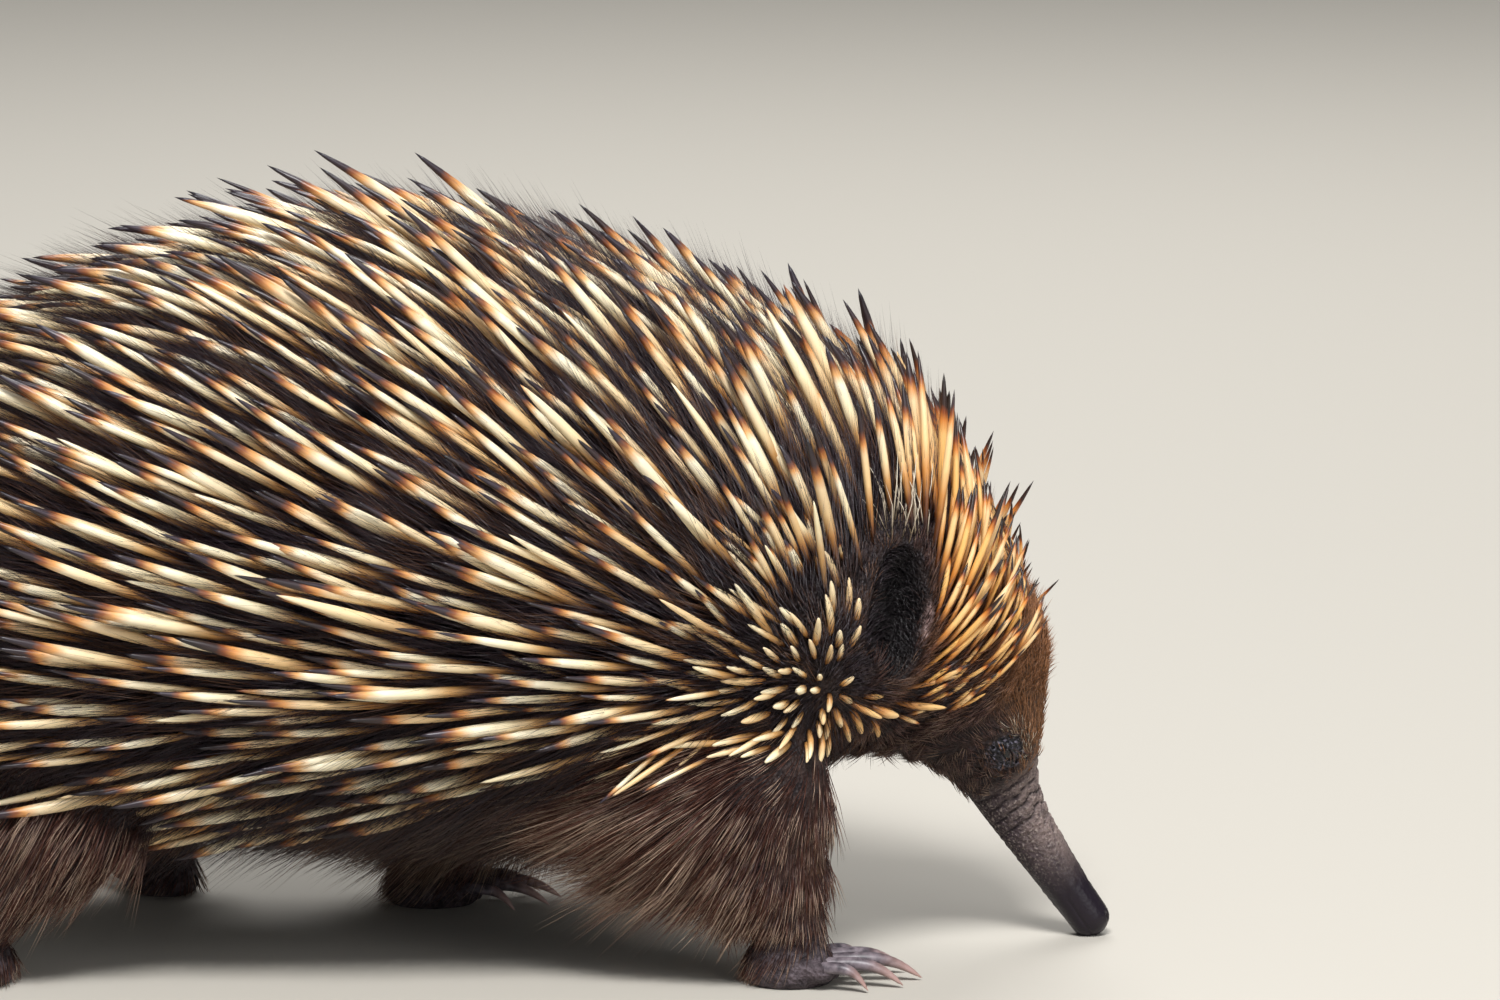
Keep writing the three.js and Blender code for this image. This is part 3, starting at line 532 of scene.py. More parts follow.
on_root = ease(past_root, -12, -7)
deep = grooves(crease, crease_gap, 0.46) * on_root * ease(past_root, 11, 3)
plump = 0.13 * np.cos((crease / crease_gap - 0.5) * 2 * np.pi) * on_root * ease(past_root, 10, 2)
fine = grooves(crease + 0.5 * wave(place, 3, 3), 1.5, 0.3) * on_root * ease(past_root, 24, 4)
cross_line = beak_turn * 5.2 + 0.9 * wave(place, 5, 13) + 1.3 * np.round(crease / crease_gap)
crossing = grooves(cross_line, 2.6, 0.16) * on_root * ease(past_root, 9, 0)
upper_side = ease(np.cos(beak_turn), -1.0, -0.3)
beak_fold = (plump - 0.7 * deep - 0.22 * fine - 0.35 * crossing) * upper_side
# Painted shade: this mark darkens the beak's colour in its creases.
beak_crease = np.clip(deep + 0.35 * fine + 0.6 * crossing, 0, 1) * upper_side
pebbles = 0.13 * wave(place, 2.4, 31) + 0.07 * wave(place, 1.2, 32)
beak_grain = pebbles * ease(past_root, -2, 4) * ease(past_root, 38, 26)
swollen = (beak_fold + beak_grain) * on_body
tip_middle, tip_ahead, tip_above = (a[-1] for a in (line_middle, line_ahead, line_above))
from_tip = place - tip_middle
mouth = 0.7 * np.exp(-((from_tip @ tip_above + 1.9) / 0.42) ** 2) * ease(from_tip @ tip_ahead, -10, -7)
swollen -= 0.45 * (mouth * ease(along_body, beak_start, beak_start + 5))
for side in (-1, 1):
    nostril = tip_middle + tip_above * 4.2 + tip_ahead * 2.0 + np.array([0, side * 2.1, 0])
    away = np.linalg.norm(place - nostril, axis=1)
    swollen -= 1.0 * ease(away, 1.35, 0.5)
    swollen += 0.22 * ease(away, 2.2, 1.5) * ease(away, 1.0, 1.4)
moved += unit(spoke) * swollen[:, None] * (along_body > beak_start - 14)[:, None]

# Loose skin: soft rolls under the throat and in front of the shoulder, creased soles and toes.
throat = ease(along_body, neck_start, head_start) * ease(along_body, beak_start - 12, head_start + 12)
throat_roll = 0.8 * np.sin(along_body * 2 * np.pi / 9 + wave(place, 30, 4)) * ease(facing[:, 2], 0.3, -0.5)
moved += facing * (throat * throat_roll * on_body)[:, None]
on_foot = ease(place[:, 2], 23, 14) * on_leg
foot_crease = 0.22 * wave(place * (1.0, 1.0, 1.7), 3.4, 51)
foot_crease = foot_crease + 0.13 * np.sin(place[:, 2] * 2 * np.pi / 1.9 + wave(place, 6, 8))
moved += facing * (foot_crease * on_foot * ease(place[:, 2], 0.4, 2))[:, None]
moved[:, 2] = np.maximum(moved[:, 2], ground_gap)
skin.data.vertices.foreach_set("co", moved.astype(np.float32).ravel())
skin.data.update()
place, facing = mesh_points(skin.data)

# The lie of the coat over the skin: spines and fur part at a whorl behind each ear and stream
# back from it, the forelegs' hair fans away from the shoulder, and the face's lies up the brow.
whorl_x, whorl_y, whorl_z = 236.0, 60.0, 82.0
shoulder_turns = {-1: 148.0, 1: 73.0}
hip, waist, chest = 10, 90, 175
x, y, z = place.T
facing_x, facing_z = facing[:, 0], facing[:, 2]


def leaned(ways, others, share):
    """Ways leaned over to others by a share."""
    return mix(unit(ways), others, share[:, None])


away = np.stack([x - whorl_x, z - whorl_z], 1)
far = np.linalg.norm(away, axis=1)
rear = np.radians(mix(188, 150, ease(z, 50, 105)) + 22 * ease(-x, 0, 60))
pull = 0.75 * ease(far, 0, 32) + 0.5 * ease(far, 32, 130)
away = unit(away) + pull[:, None] * np.stack([np.cos(rear), np.sin(rear)], 1)
away_from_whorl = lie = np.stack([away[:, 0], blank, away[:, 1]], 1)
foreleg = on_leg & (x > waist)
hindleg = on_leg & (x <= waist)
below_flank = ease(z, 76, 56) * ease(x, 40, 110) * (1 - head_share) * on_body
for side, turn_start in shoulder_turns.items():
    down = np.radians(5 + 85 * np.clip((x - turn_start) / 88, 0, 1) ** 1.5)
    down *= mix(1, 0.6, ease(z, 46, 64) * ease(x, turn_start + 78, turn_start + 56))
    swept = np.stack([-np.cos(down), blank, -np.sin(down)], 1)
    lie = leaned(lie, swept, np.maximum(below_flank, foreleg) * (y * side > 0))
lie[hindleg] = unit(np.array([-0.55, 0, -1.0]))
up_face = unit(np.array([0, 0, 0.15]) - line_ahead[line])
lie = leaned(lie, up_face, ease(along_body, cheek - 14, cheek + 4) * on_body * ease(facing_x, -0.4, 0.2))
rise = np.radians(np.clip(28 + 0.466 * (x - 265) + 0.884 * (z - 70), 10, 96))
up_head = np.stack([np.cos(rise), blank, np.sin(rise)], 1)
cheek_line = np.interp(x, (250, 268, 277.6, 286.7, 292.4, 295.8, 298.1, 304),
                       (68, 68, 71.5, 79, 92, 101, 112, 126))
over_cheek = z - cheek_line
lie = leaned(lie, up_head, ease(x, 248, 262) * ease(over_cheek, -9, -2) * on_body)
from_whorl = np.sqrt((x - whorl_x) ** 2 + (np.abs(y) - whorl_y) ** 2 + (z - whorl_z) ** 2)
lie = leaned(lie, unit(away_from_whorl), ease(from_whorl, 36, 26) * ease(x, 268, 258))
lie = unit(lie - facing * np.einsum("ij,ij->i", lie, facing)[:, None])

# Where the spines stand, how long and how upright they are: short at the whorl, the eyes and
# the ears, long on the loin. They end at a line along the flank and the cheek, and none of them
# crosses an ear.
grown = ease(from_whorl, 6, 62)
rump = ease(-x, 20, 70)
low_down = 1 - ease(z, 55, 95)
near_whorl = ease(from_whorl, 30, 24)
to_head = ease(along_body, head_start - 8, head_start + 8)
eye_x, eye_z = 286.4, 57.5
eye_gap = np.hypot(x - eye_x, z - eye_z)
ear_measures = [ear_reach(place, ear) for ear in ears]
ear_span = np.minimum(ear_measures[0][0], ear_measures[1][0])
ear_front = ease(x, 252, 262)
off_ear = ease(ear_span, mix(1.28, 1.12, ear_front), mix(1.4, 1.22, ear_front))
spine_line = mix(44, 66, ease(x, 95, 215)) - 9 * ease(from_whorl, 42, 24)
throat_line = ease(x, 236, 250) * 10
over_shoulder = 7 * ease(x, 165, 188) * ease(x, 226, 214)
spiny = ease(z - spine_line - throat_line - over_shoulder, -5, 4) * on_body * off_ear
trunk_spines = spiny * (along_body < neck_start + 4) * (1 - near_whorl)
neck_spines = spiny * (along_body >= neck_start - 2) * (along_body < head_start + 2) * (1 - near_whorl)
head_spines = on_body * (along_body >= head_start - 3) * ease(over_cheek, 0, 4) * off_ear * (1 - near_whorl)
on_front = ease(facing_x, 0.45, 0.85) * ease(along_body, cheek - 26, cheek - 8)
shoulder = ease(x, 140, 175) * ease(z, 82, 66)
loin_top = ease(x, 130, 40) * ease(z, 125, 165)
spine_length = mix(20, 49, grown) * mix(1, 0.82, rump) * mix(1, 0.88, low_down) * (1 - 0.3 * shoulder)
spine_length *= 1 - 0.16 * ease(x, 130, 215) * ease(z, 110, 160)
spine_length *= 1 - 0.14 * loin_top
head_length = mix(15, 38, ease(from_whorl, 4, 46)) * mix(0.8, 1, ease(z, 66, 112))
head_length *= (ease(eye_gap, 14, 45) * 0.3 + 0.7) * (1 - 0.5 * on_front)
spine_length = mix(spine_length, head_length, to_head)
spine_lift = np.radians(mix(68, 24, ease(from_whorl, 4, 34)) + 6 * rump - 5 * low_down)
spine_girth = mix(0.7, 1, ease(from_whorl, 20, 60)) * (1 - 0.45 * shoulder)
head_girth = mix(0.62, 1.05, ease(eye_gap, 16, 50)) * (1 - 0.4 * on_front)
spine_girth = mix(spine_girth, head_girth, to_head)
ear_edge = 1.1
probes = 6
room = spine_length.copy()
across_lie = np.cross(facing, lie)
for ear in ears:
    for step in range(probes, 0, -1):
        for aside in (-0.14, 0, 0.14):
            probe = place + (lie + across_lie * aside) * (spine_length * step / probes)[:, None]
            crosses = (ear_reach(probe, ear)[0] < ear_edge) & (ear_span > ear_edge)
            room = np.where(crosses, np.minimum(room, spine_length * (step - 0.7) / probes), room)
off_cheek = np.max([ease(over_cheek, 3, 22), ease(x, 268, 282), ease(x, 252, 240)], axis=0)
spine_length = np.maximum(room, 7) * mix(0.42, 1, off_cheek)
trunk_spines, neck_spines, head_spines = (
    cover * ease(room, 4, 7) for cover in (trunk_spines, neck_spines, head_spines))
shoulder_band = ease(z, 88, 78) * ease(x, 160, 178) * ease(x, 225, 215)
whorl_edge = mix(67, 71, ease(x, 228, 238))
whorl_cover = np.maximum(ease(from_whorl, 48, 38), 0.45 * shoulder_band)
whorl_cover = whorl_cover * off_ear * ease(z - whorl_edge, -2, 2)
whorl_cover *= mix(1, 0.55, ease(from_whorl, 12, 30)) * np.where(x > 242, ease(from_whorl, 31, 27), 1)
whorl_length = mix(mix(8, 25, ease(from_whorl, 3, 46)), 25, shoulder_band * ease(from_whorl, 22, 40))
whorl_length = np.where(x > 238, np.minimum(whorl_length, 10), whorl_length)

# Where the softer hair grows: fur between the spines and round the ears, bristles on the belly
# and down each leg to the wrist, short fur on the face, and a pale tuft over each ear.
ear_near = ease(ear_span, 1.8, 1.5)
fur_cover = np.clip(spiny + head_spines + ear_near, 0, 1) * (1 - ear_rim)
head_fur = mix(9, 4, np.maximum(on_front, ease(over_cheek, 16, 2)))
fur_length = mix(mix(mix(12, 30, grown) + 4 * loin_top, head_fur, to_head), 5.5, ear_near)
round_foot = 34
past_wrist = np.full(len(place), -20.0)
for leg in legs:
    foot_x, foot_y, foot_turn = leg["foot"][:3]
    from_foot_x, from_foot_y = x - foot_x, y - leg["side"] * foot_y
    ahead_of_wrist = from_foot_x * math.cos(math.radians(foot_turn))
    ahead_of_wrist += from_foot_y * math.sin(math.radians(foot_turn))
    past_wrist = np.where(np.hypot(from_foot_x, from_foot_y) < round_foot, ahead_of_wrist, past_wrist)
hair_edge = mix(4, 13, ease(past_wrist, -8, 8)) + 1.5 * wave(place, 12, 61)
hairy_leg = on_leg * ease(z - hair_edge, -2, 2) * (1 - 0.7 * near_whorl)
elbow_cover = hairy_leg * foreleg * ease(-facing_x, -0.35, 0.1) * ease(z, 17, 22) * ease(z, 66, 56)
elbow = foreleg * ease(-facing_x, 0.1, 0.8) * ease(z, 12, 24)
belly_cover = on_body * (1 - ease(z - spine_line, -4, 8)) * (1 - ease(along_body, cheek - 6, cheek + 4))
hanging = ease(x, 60, 120) * ease(x, 200, 165) * ease(facing_z, 0.1, -0.5)
belly_length = mix(18, 30, hanging) * mix(1, 0.8, ease(facing_z, -0.6, -0.98))
belly_length = mix(belly_length, 8, ease(along_body, neck_start - 8, head_start - 8))
bristle_length = mix(8, 14, ease(z, 12, 36)) + 22 * foreleg * (ease(x, 222, 188) * ease(z, 12, 26))
bristle_length = np.where(hindleg, mix(10, 24, ease(z, 14, 40)), bristle_length)
bristle_length = np.where(on_leg, bristle_length, belly_length)
face_cover = on_body * ease(along_body, head_start - 4, head_start + 8)
face_cover *= 1 - ease(along_body, beak_start - 17, beak_start - 7)
face_cover *= 1 - 0.9 * ease(eye_naked, 0.1, 0.7)
face_cover = face_cover * (1 - ear_hollow) * (1 - ear_rim) * (1 - 0.75 * head_spines)
ear_tops = blank
for _, ahead_of, high in ear_measures:
    tuft = ease(high, 19, 21) * ease(high, 29, 26) * ease(np.abs(ahead_of - 1), 9, 6)
    ear_tops = np.maximum(ear_tops, tuft)

# The marks: what the coat and the colours need to know, kept at each point of the skin. Lengths
# are in millimetres here and in metres on the skin. Hairs carry some marks on for their colours.
plain = np.ones(len(place))
lengths = {
    "spine_length": spine_length,
    "whorl_length": np.minimum(room, whorl_length),
    "fur_length": fur_length,
    "bristle_length": bristle_length,
    "face_length": mix(8, 3.6, ease(along_body, cheek - 14, beak_start - 12)),
    "ear_hair_length": 19 * plain,
}
skin_marks = {name: values * 0.001 for name, values in lengths.items()}
skin_marks.update({
    "trunk_spines": trunk_spines, "neck_spines": neck_spines, "head_spines": head_spines,
    "whorl_cover": whorl_cover * ease(room, 7, 9),
    "fur_rump": fur_cover * (x < hip),
    "fur_loin": fur_cover * (x >= hip) * (x < waist),
    "fur_chest": fur_cover * (x >= waist) * (x < chest),
    "fur_front": fur_cover * (x >= chest),
    "foreleg_cover": hairy_leg * foreleg, "hindleg_cover": hairy_leg * hindleg,
    "elbow_cover": elbow_cover, "belly_cover": belly_cover,
    "face_cover": face_cover, "lash_cover": lash_cover, "ear_tops": ear_tops,
    "spine_lift": spine_lift,
    "whorl_lift": np.radians(mix(56, 24, ease(from_whorl, 2, 24))),
    "fur_lift": np.radians(mix(20, 22, ease(from_whorl, 4, 34)) + 30 * ear_hollow),
    "bristle_lift": 0.17 + 0.42 * hanging * on_body + 0.72 * elbow,
    "face_lift": 0.2 * plain,
    "spine_girth": spine_girth,
    "whorl_girth": mix(1, 0.62, shoulder_band * ease(from_whorl, 20, 34)),
    "plain": plain,
    "ruddy": ease(along_body, head_start - 4, cheek) * ease(facing_x, 0.22, 0.78),
    "golden": ease(along_body, head_start - 16, head_start + 4),
    "pale": np.maximum(ease(from_whorl, 38, 24), 0.6 * shoulder),
    # Painted shade: the body's bristles grow darker towards the bottom, under the belly.
    "dusky": 0.75 * on_body * ease(z, 84, 50),
    # Painted light and shade: the beak's top is painted lighter, its underside and creases darker.
    "beak": beak_share * on_body, "beak_top": np.cos(beak_turn), "beak_crease": beak_crease,
    "tip": ease(along_body, beak_start + 7, body_length - 9),
    # ear_hollow also darkens the hide and the fur in the hollow: painted shade.
    "foot": on_foot, "eyelid": eye_naked, "ear_hollow": ear_hollow, "ear_rim": ear_rim,
})
carried_marks = {"ruddy", "golden", "ear_hollow", "pale", "dusky"}


def draw_mark(mesh, name, values, kind="FLOAT", field="value"):
    """Keeps a value at each point of a mesh."""
    layer = mesh.attributes.new(name, kind, "POINT")
    layer.data.foreach_set(field, np.array(values, np.float32).ravel())


for name, values in skin_marks.items():
    draw_mark(skin.data, name, values)
draw_mark(skin.data, "lie", lie, "FLOAT_VECTOR", "vector")
skin.data.transform(to_frame)
skin.data.update()
skin.data.shade_smooth()

# The hide's finish: near black under the coat, grey and scaly on the beak and feet, wrinkled
# and darker on the lids, pinkish on the ears' rims. The beak's tip is smooth, dark and damp.
# The beak is painted lighter on top and darker below as painted light, with painted shade in
# its creases, and the ears' hollows are painted near black as shade.


def fill(node, inputs):
    """Sets a node's inputs, and links those that come from another node of the tree at hand."""
    for socket, value in inputs.items():
        if isinstance(value, bpy.types.NodeSocket):
            tree.links.new(value, node.inputs[socket])
        else:
            node.inputs[socket].default_value = value
    return node


def add(kind, inputs=None, **settings):
    """A new node in the tree at hand."""
    made = tree.nodes.new(kind)
    for name, value in settings.items():
        setattr(made, name, value)
    return fill(made, inputs or {})


def colour(code):
    """A paint chart's six-figure code as a linear colour."""
    parts = [int(code[i:i + 2], 16) / 255 for i in (1, 3, 5)]
    return [((c + 0.055) / 1.055) ** 2.4 if c > 0.04045 else c / 12.92 for c in parts] + [1]


def blank_material(name):
    """A new material, its tree and its surface."""
    material = bpy.data.materials.new(name)
    material.use_nodes = True
    nodes = material.node_tree.nodes
    nodes.clear()
    surface = nodes.new("ShaderNodeBsdfPrincipled")
    output = nodes.new("ShaderNodeOutputMaterial")
    material.node_tree.links.new(surface.outputs["BSDF"], output.inputs["Surface"])
    return material, material.node_tree, surface


def marked(name):
    return add("ShaderNodeAttribute", attribute_name=name).outputs["Fac"]


def blend(share, first, second, way="MIX"):
    """A mix of two colours by a share. Each colour is a code or comes from a node."""
    first, second = (colour(tone) if isinstance(tone, str) else tone for tone in (first, second))
    return add("ShaderNodeMix", {0: share, 6: first, 7: second},
               data_type="RGBA", blend_type=way, clamp_factor=True).outputs[2]


def laid(tone, *coats):
    """A colour with others laid over it in turn, each after the share that it covers."""
    for share, over in coats:
        tone = blend(share, tone, over)
    return tone


def figure(operation, first, second=0.0, third=0.0):
    return add("ShaderNodeMath", {0: first, 1: second, 2: third}, operation=operation).outputs[0]


def times(first, second):
    return figure("MULTIPLY", first, second)


def plus(first, second):
    return figure("ADD", first, second)


def spread(value, low, high, new_low=0.0, new_high=1.0):
    """A value carried over from one range to another."""
    return add("ShaderNodeMapRange", {"Value": value, "From Min": low, "From Max": high,
                                      "To Min": new_low, "To Max": new_high}).outputs["Result"]


def noise(spots, scale, detail, rough=0.5):
    return add("ShaderNodeTexNoise", {"Vector": spots, "Scale": scale, "Detail": detail,
                                      "Roughness": rough}).outputs["Fac"]


def bumped(height, strength, distance):
    return add("ShaderNodeBump", {"Height": height, "Strength": strength,
                                  "Distance": distance}).outputs["Normal"]


skin_finish, tree, surface = blank_material("hide")
place_in = add("ShaderNodeTexCoord").outputs["Object"]
mottle = noise(place_in, 260.0, 6.0, 0.62)
grain = noise(place_in, 1300.0, 4.0)
cracks = add("ShaderNodeTexVoronoi", {"Vector": place_in, "Scale": 950.0}).outputs["Distance"]
beak_tone = laid(
    "#34282d",
    # Painted light: the beak's top is painted lighter and its underside darker, as if lit from above.
    (spread(marked("beak_top"), -0.6, 0.9), "#8c7a75"),
    (spread(mottle, 0.5, 0.66, 0.0, 0.7), "#3a2e35"),
    (spread(grain, 0.53, 0.66, 0.0, 0.55), "#a99c94"),
    (spread(cracks, 0.0, 0.3, 0.8, 0.0), "#2c242a"),
    # Painted shade in the beak's creases.
    (times(marked("beak_crease"), 0.8), "#221a1f"),
    (marked("tip"), "#170e19"))
foot_tone = laid(
    "#2b2327",
    (spread(mottle, 0.38, 0.62), "#5a4f54"),
    (spread(cracks, 0.0, 0.3, 0.7, 0.0), "#2a2226"))
lid_tone = blend(spread(grain, 0.53, 0.66, 0.0, 0.9), "#0d0b12", "#726e7d")
rim_tone = blend(spread(mottle, 0.4, 0.6), "#7d6461", "#b89c97")
hide = laid(
    "#1a1114",
    (spread(mottle, 0.4, 0.62), "#33231f"),
    (marked("ruddy"), "#452d1e"),
    (marked("beak"), beak_tone),
    (marked("foot"), foot_tone),
    (marked("eyelid"), lid_tone),
    (marked("ear_rim"), rim_tone),
    # Painted shade: the ear's hollow is painted near black.
    (marked("ear_hollow"), "#0e090c"))
rough = figure("SUBTRACT", spread(marked("tip"), 0, 1, 0.62, 0.36), times(marked("eyelid"), 0.24))
rough = figure("MULTIPLY_ADD", mottle, 0.2, figure("SUBTRACT", rough, 0.1))
height = figure("MULTIPLY_ADD", cracks, 0.8, times(grain, 0.5))
height = times(height, spread(marked("tip"), 0, 1, 1.0, 0.12))
fill(surface, {"Base Color": hide, "Roughness": rough, "Specular IOR Level": 0.34,
               "Normal": bumped(height, 1.0, 0.0007)})
skin.data.materials.clear()
skin.data.materials.append(skin_finish)
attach(skin, "root")
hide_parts("torso", "neck", "head", "beak", "tail", "ear_left", "ear_right",
            *[kind + leg["name"] for leg in legs for kind in ("leg_", "foot_")])

# The eyes: small wet dark balls, each with a clear swelling over a brown iris and a black pupil.
# Each sits in its lids and shows through their slit.
eye_finish, tree, surface = blank_material("eye")
ring = marked("iris")
iris_tone = laid("#07070c", (spread(ring, 0.30, 0.36), "#2a1c18"), (spread(ring, 0.62, 0.72), "#14161f"))
fill(surface, {"Base Color": iris_tone, "Roughness": 0.1})
for eye in eyes:
    ball = bmesh.new()
    bmesh.ops.create_uvsphere(ball, u_segments=48, v_segments=32, radius=1)
    iris_mark = ball.verts.layers.float.new("iris")
    turn = Matrix((eye["ahead"], eye["upper"], eye["out"])).transposed()
    for v in ball.verts:
        off_axis = math.hypot(v.co.x, v.co.y) if v.co.z > 0 else 1.0
        v[iris_mark] = off_axis
        cornea = 0.10 * float(ease(off_axis, 0.72, 0.2))
        v.co = Vector(eye["middle"]) + turn @ (v.co * (eye_radius * (1 + cornea)))
    turn_outward(ball)
    eye_mesh = bpy.data.meshes.new(eye["name"] + "_ball")
    ball.to_mesh(eye_mesh)
    ball.free()
    eye_mesh.transform(to_frame)
    eye_mesh.shade_smooth()
    eye_mesh.materials.append(eye_finish)
    eye_ball = shown(eye["name"] + "_ball", eye_mesh)
    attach(eye_ball, "root")
    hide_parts(eye["name"])

# The spines: stiff hollow hairs about 3 mm thick, ivory with tan shoulders and slate tips,
# rooted in the skin and leaning back from the whorl. Each piece holds one part's spines, and
# every other hair of the coat is grown by the same tree.


def strand(name, rings, sides, hairs=1, splay=0.0):
    """A tapering strand one unit long, or a tuft of them, with its own place for colours."""
    verts, faces, patches, heights = [], [], [], []
    for hair in range(hairs):
        first = len(verts)
        angle = 2 * math.pi * hair / hairs + 0.6
        tilt = splay * (0.6 + 0.4 * math.sin(5 * hair + 1))
        apart = splay * (0.55 + 0.25 * math.cos(3 * hair))
        tall = 1 - 0.16 * (hair % 3)
        for along, girth in rings[:-1]:
            lean = tilt * along + apart
            for s in range(sides):
                a = 2 * math.pi * s / sides
                verts.append((girth * math.cos(a) + lean * math.cos(angle),
                              girth * math.sin(a) + lean * math.sin(angle), along * tall))
                heights.append(along)
        lean = tilt + apart
        verts.append((lean * math.cos(angle), lean * math.sin(angle), tall))
        heights.append(1.0)

        def patch(s, along):
            return (hair + 0.1 + 0.8 * s / sides) / hairs - 0.5, along * 0.9 - 0.45

        for r in range(len(rings) - 2):
            low, high = rings[r][0], rings[r + 1][0]
            here, beyond = first + r * sides, first + (r + 1) * sides
            for s in range(sides):
                t = (s + 1) % sides
                faces.append((here + s, here + t, beyond + t, beyond + s))
                patches += [patch(s, low), patch(s + 1, low), patch(s + 1, high), patch(s, high)]
        top, low = first + (len(rings) - 2) * sides, rings[-2][0]
        for s in range(sides):
            faces.append((top + s, top + (s + 1) % sides, len(verts) - 1))
            patches += [patch(s, low), patch(s + 1, low), patch(s + 0.5, 1.0)]
        faces.append(tuple(first + s for s in reversed(range(sides))))
        patches += [patch(s, 0.0) for s in reversed(range(sides))]
    mesh = bpy.data.meshes.new(name)
    mesh.from_pydata(verts, [], faces)
    draw_mark(mesh, "along", heights)
    layer = mesh.uv_layers.new(name="patch")
    layer.data.foreach_set("uv", np.array(patches, np.float32).ravel())
    return bpy.data.objects.new(name, mesh)


coat_tree = tree = bpy.data.node_groups.new("coat", "GeometryNodeTree")
coat_inputs = (
    ("Skin", "Geometry"), ("Strand", "Object"), ("Cover", "String"), ("Length", "String"),
    ("Lift", "String"), ("Girth", "String"), ("Gap", "Float"), ("Seed", "Int"), ("Width", "Float"),
    ("Vary length", "Float"), ("Vary lift", "Float"), ("Lift more", "Float"), ("Sway", "Float"),
    ("Roll", "Float"), ("Bend", "Float"), ("Finish", "Material"),
)
for name, kind in coat_inputs:
    coat_tree.interface.new_socket(name, in_out="INPUT", socket_type="NodeSocket" + kind)
coat_tree.interface.new_socket("Coat", in_out="OUTPUT", socket_type="NodeSocketGeometry")
given = add("NodeGroupInput").outputs


def vector(operation, first, second=(0, 0, 0)):
    return add("ShaderNodeVectorMath", {0: first, 1: second}, operation=operation).outputs["Vector"]


def scaled(way, much):
    return add("ShaderNodeVectorMath", {0: way, 3: much}, operation="SCALE").outputs["Vector"]


def swung(first, second, angle):
    """A way that swings by an angle from the first way to the second."""
    return vector("ADD", scaled(first, figure("COSINE", angle)), scaled(second, figure("SINE", angle)))


def drawn(offset, low=-1.0, high=1.0):
    """A random number for each strand, steady from run to run."""
    seed = add("FunctionNodeIntegerMath", {0: given["Seed"], 1: offset}).outputs[0]
    return add("FunctionNodeRandomValue", {2: low, 3: high, 8: seed}, data_type="FLOAT").outputs[1]


def kept(name, kind="FLOAT"):
    return add("GeometryNodeInputNamedAttribute", {"Name": name}, data_type=kind).outputs["Attribute"]


def keep(geometry, name, value, kind="FLOAT", domain="POINT"):
    return add("GeometryNodeStoreNamedAttribute", {"Geometry": geometry, "Name": name, "Value": value},
               data_type=kind, domain=domain).outputs["Geometry"]


crowd = figure("DIVIDE", 3.0, times(given["Gap"], given["Gap"]))
scattered = add("GeometryNodeDistributePointsOnFaces",
                {"Mesh": given["Skin"], "Distance Min": given["Gap"], "Density Max": crowd,
                 "Density Factor": kept(given["Cover"]), "Seed": given["Seed"]},
                distribute_method="POISSON").outputs
normal = scattered["Normal"]
lie_way = kept("lie", "FLOAT_VECTOR")
side_way = vector("CROSS_PRODUCT", normal, lie_way)
swayed = vector("NORMALIZE", vector("ADD", lie_way, scaled(side_way, times(drawn(11), given["Sway"]))))
lift = plus(kept(given["Lift"]), given["Lift more"])
lift = plus(lift, times(drawn(12), given["Vary lift"]))
growth = swung(swayed, normal, lift)
rolled = swung(normal, side_way, times(drawn(13), given["Roll"]))
turned = add("FunctionNodeAxesToRotation", {0: growth, 1: rolled},
             primary_axis="Z", secondary_axis="X").outputs["Rotation"]
stout = figure("POWER", drawn(15, 0.0), 3.0)
length = times(kept(given["Length"]), plus(1.0, times(drawn(14), given["Vary length"])))
length = times(length, figure("MULTIPLY_ADD", stout, 0.22, 0.94))
width = times(given["Width"], figure("MULTIPLY_ADD", stout, 0.55, 0.78))
width = times(width, kept(given["Girth"]))
droop = times(times(length, given["Bend"]), drawn(18, -1.6, -0.4))
points = keep(scattered["Points"], "root_place", kept("OFBake", "FLOAT_VECTOR"), "FLOAT_VECTOR")
points = keep(points, "tint", drawn(16, 0.0))
points = keep(points, "shade", drawn(17, 0.0))
points = keep(points, "bend_way", scaled(normal, droop), "FLOAT_VECTOR")
size = add("ShaderNodeCombineXYZ", {0: width, 1: width, 2: length}).outputs[0]
spot = add("GeometryNodeInputPosition").outputs[0]
pattern = add("GeometryNodeObjectInfo", {"Object": given["Strand"]}).outputs["Geometry"]
planted = add("GeometryNodeInstanceOnPoints",
              {"Points": points, "Instance": pattern, "Rotation": turned, "Scale": size}).outputs["Instances"]
shaped = add("GeometryNodeRealizeInstances", {0: planted}).outputs[0]
along = kept("along")
bent = vector("ADD", spot, scaled(kept("bend_way", "FLOAT_VECTOR"), times(along, along)))
parts = add("ShaderNodeSeparateXYZ", {0: bent}).outputs
floor_gap = 0.0006
above_floor = add("ShaderNodeCombineXYZ", {
    0: parts[0], 1: parts[1], 2: figure("MAXIMUM", parts[2], floor_gap)}).outputs[0]
shaped = add("GeometryNodeSetPosition", {"Geometry": shaped, "Position": above_floor}).outputs[0]
patch_size = 0.003
baked = vector("ADD", kept("root_place", "FLOAT_VECTOR"), scaled(kept("patch", "FLOAT_VECTOR"), patch_size))
shaped = keep(shaped, "OFBake", baked, "FLOAT2", "CORNER")
shaped = add("GeometryNodeSetShadeSmooth", {0: shaped}).outputs[0]
finished = add("GeometryNodeSetMaterial", {"Geometry": shaped, "Material": given["Finish"]}).outputs[0]
add("NodeGroupOutput", {0: finished})
spent_marks = (set(skin_marks) - carried_marks) | {"lie", "root_place", "bend_way", "patch"}


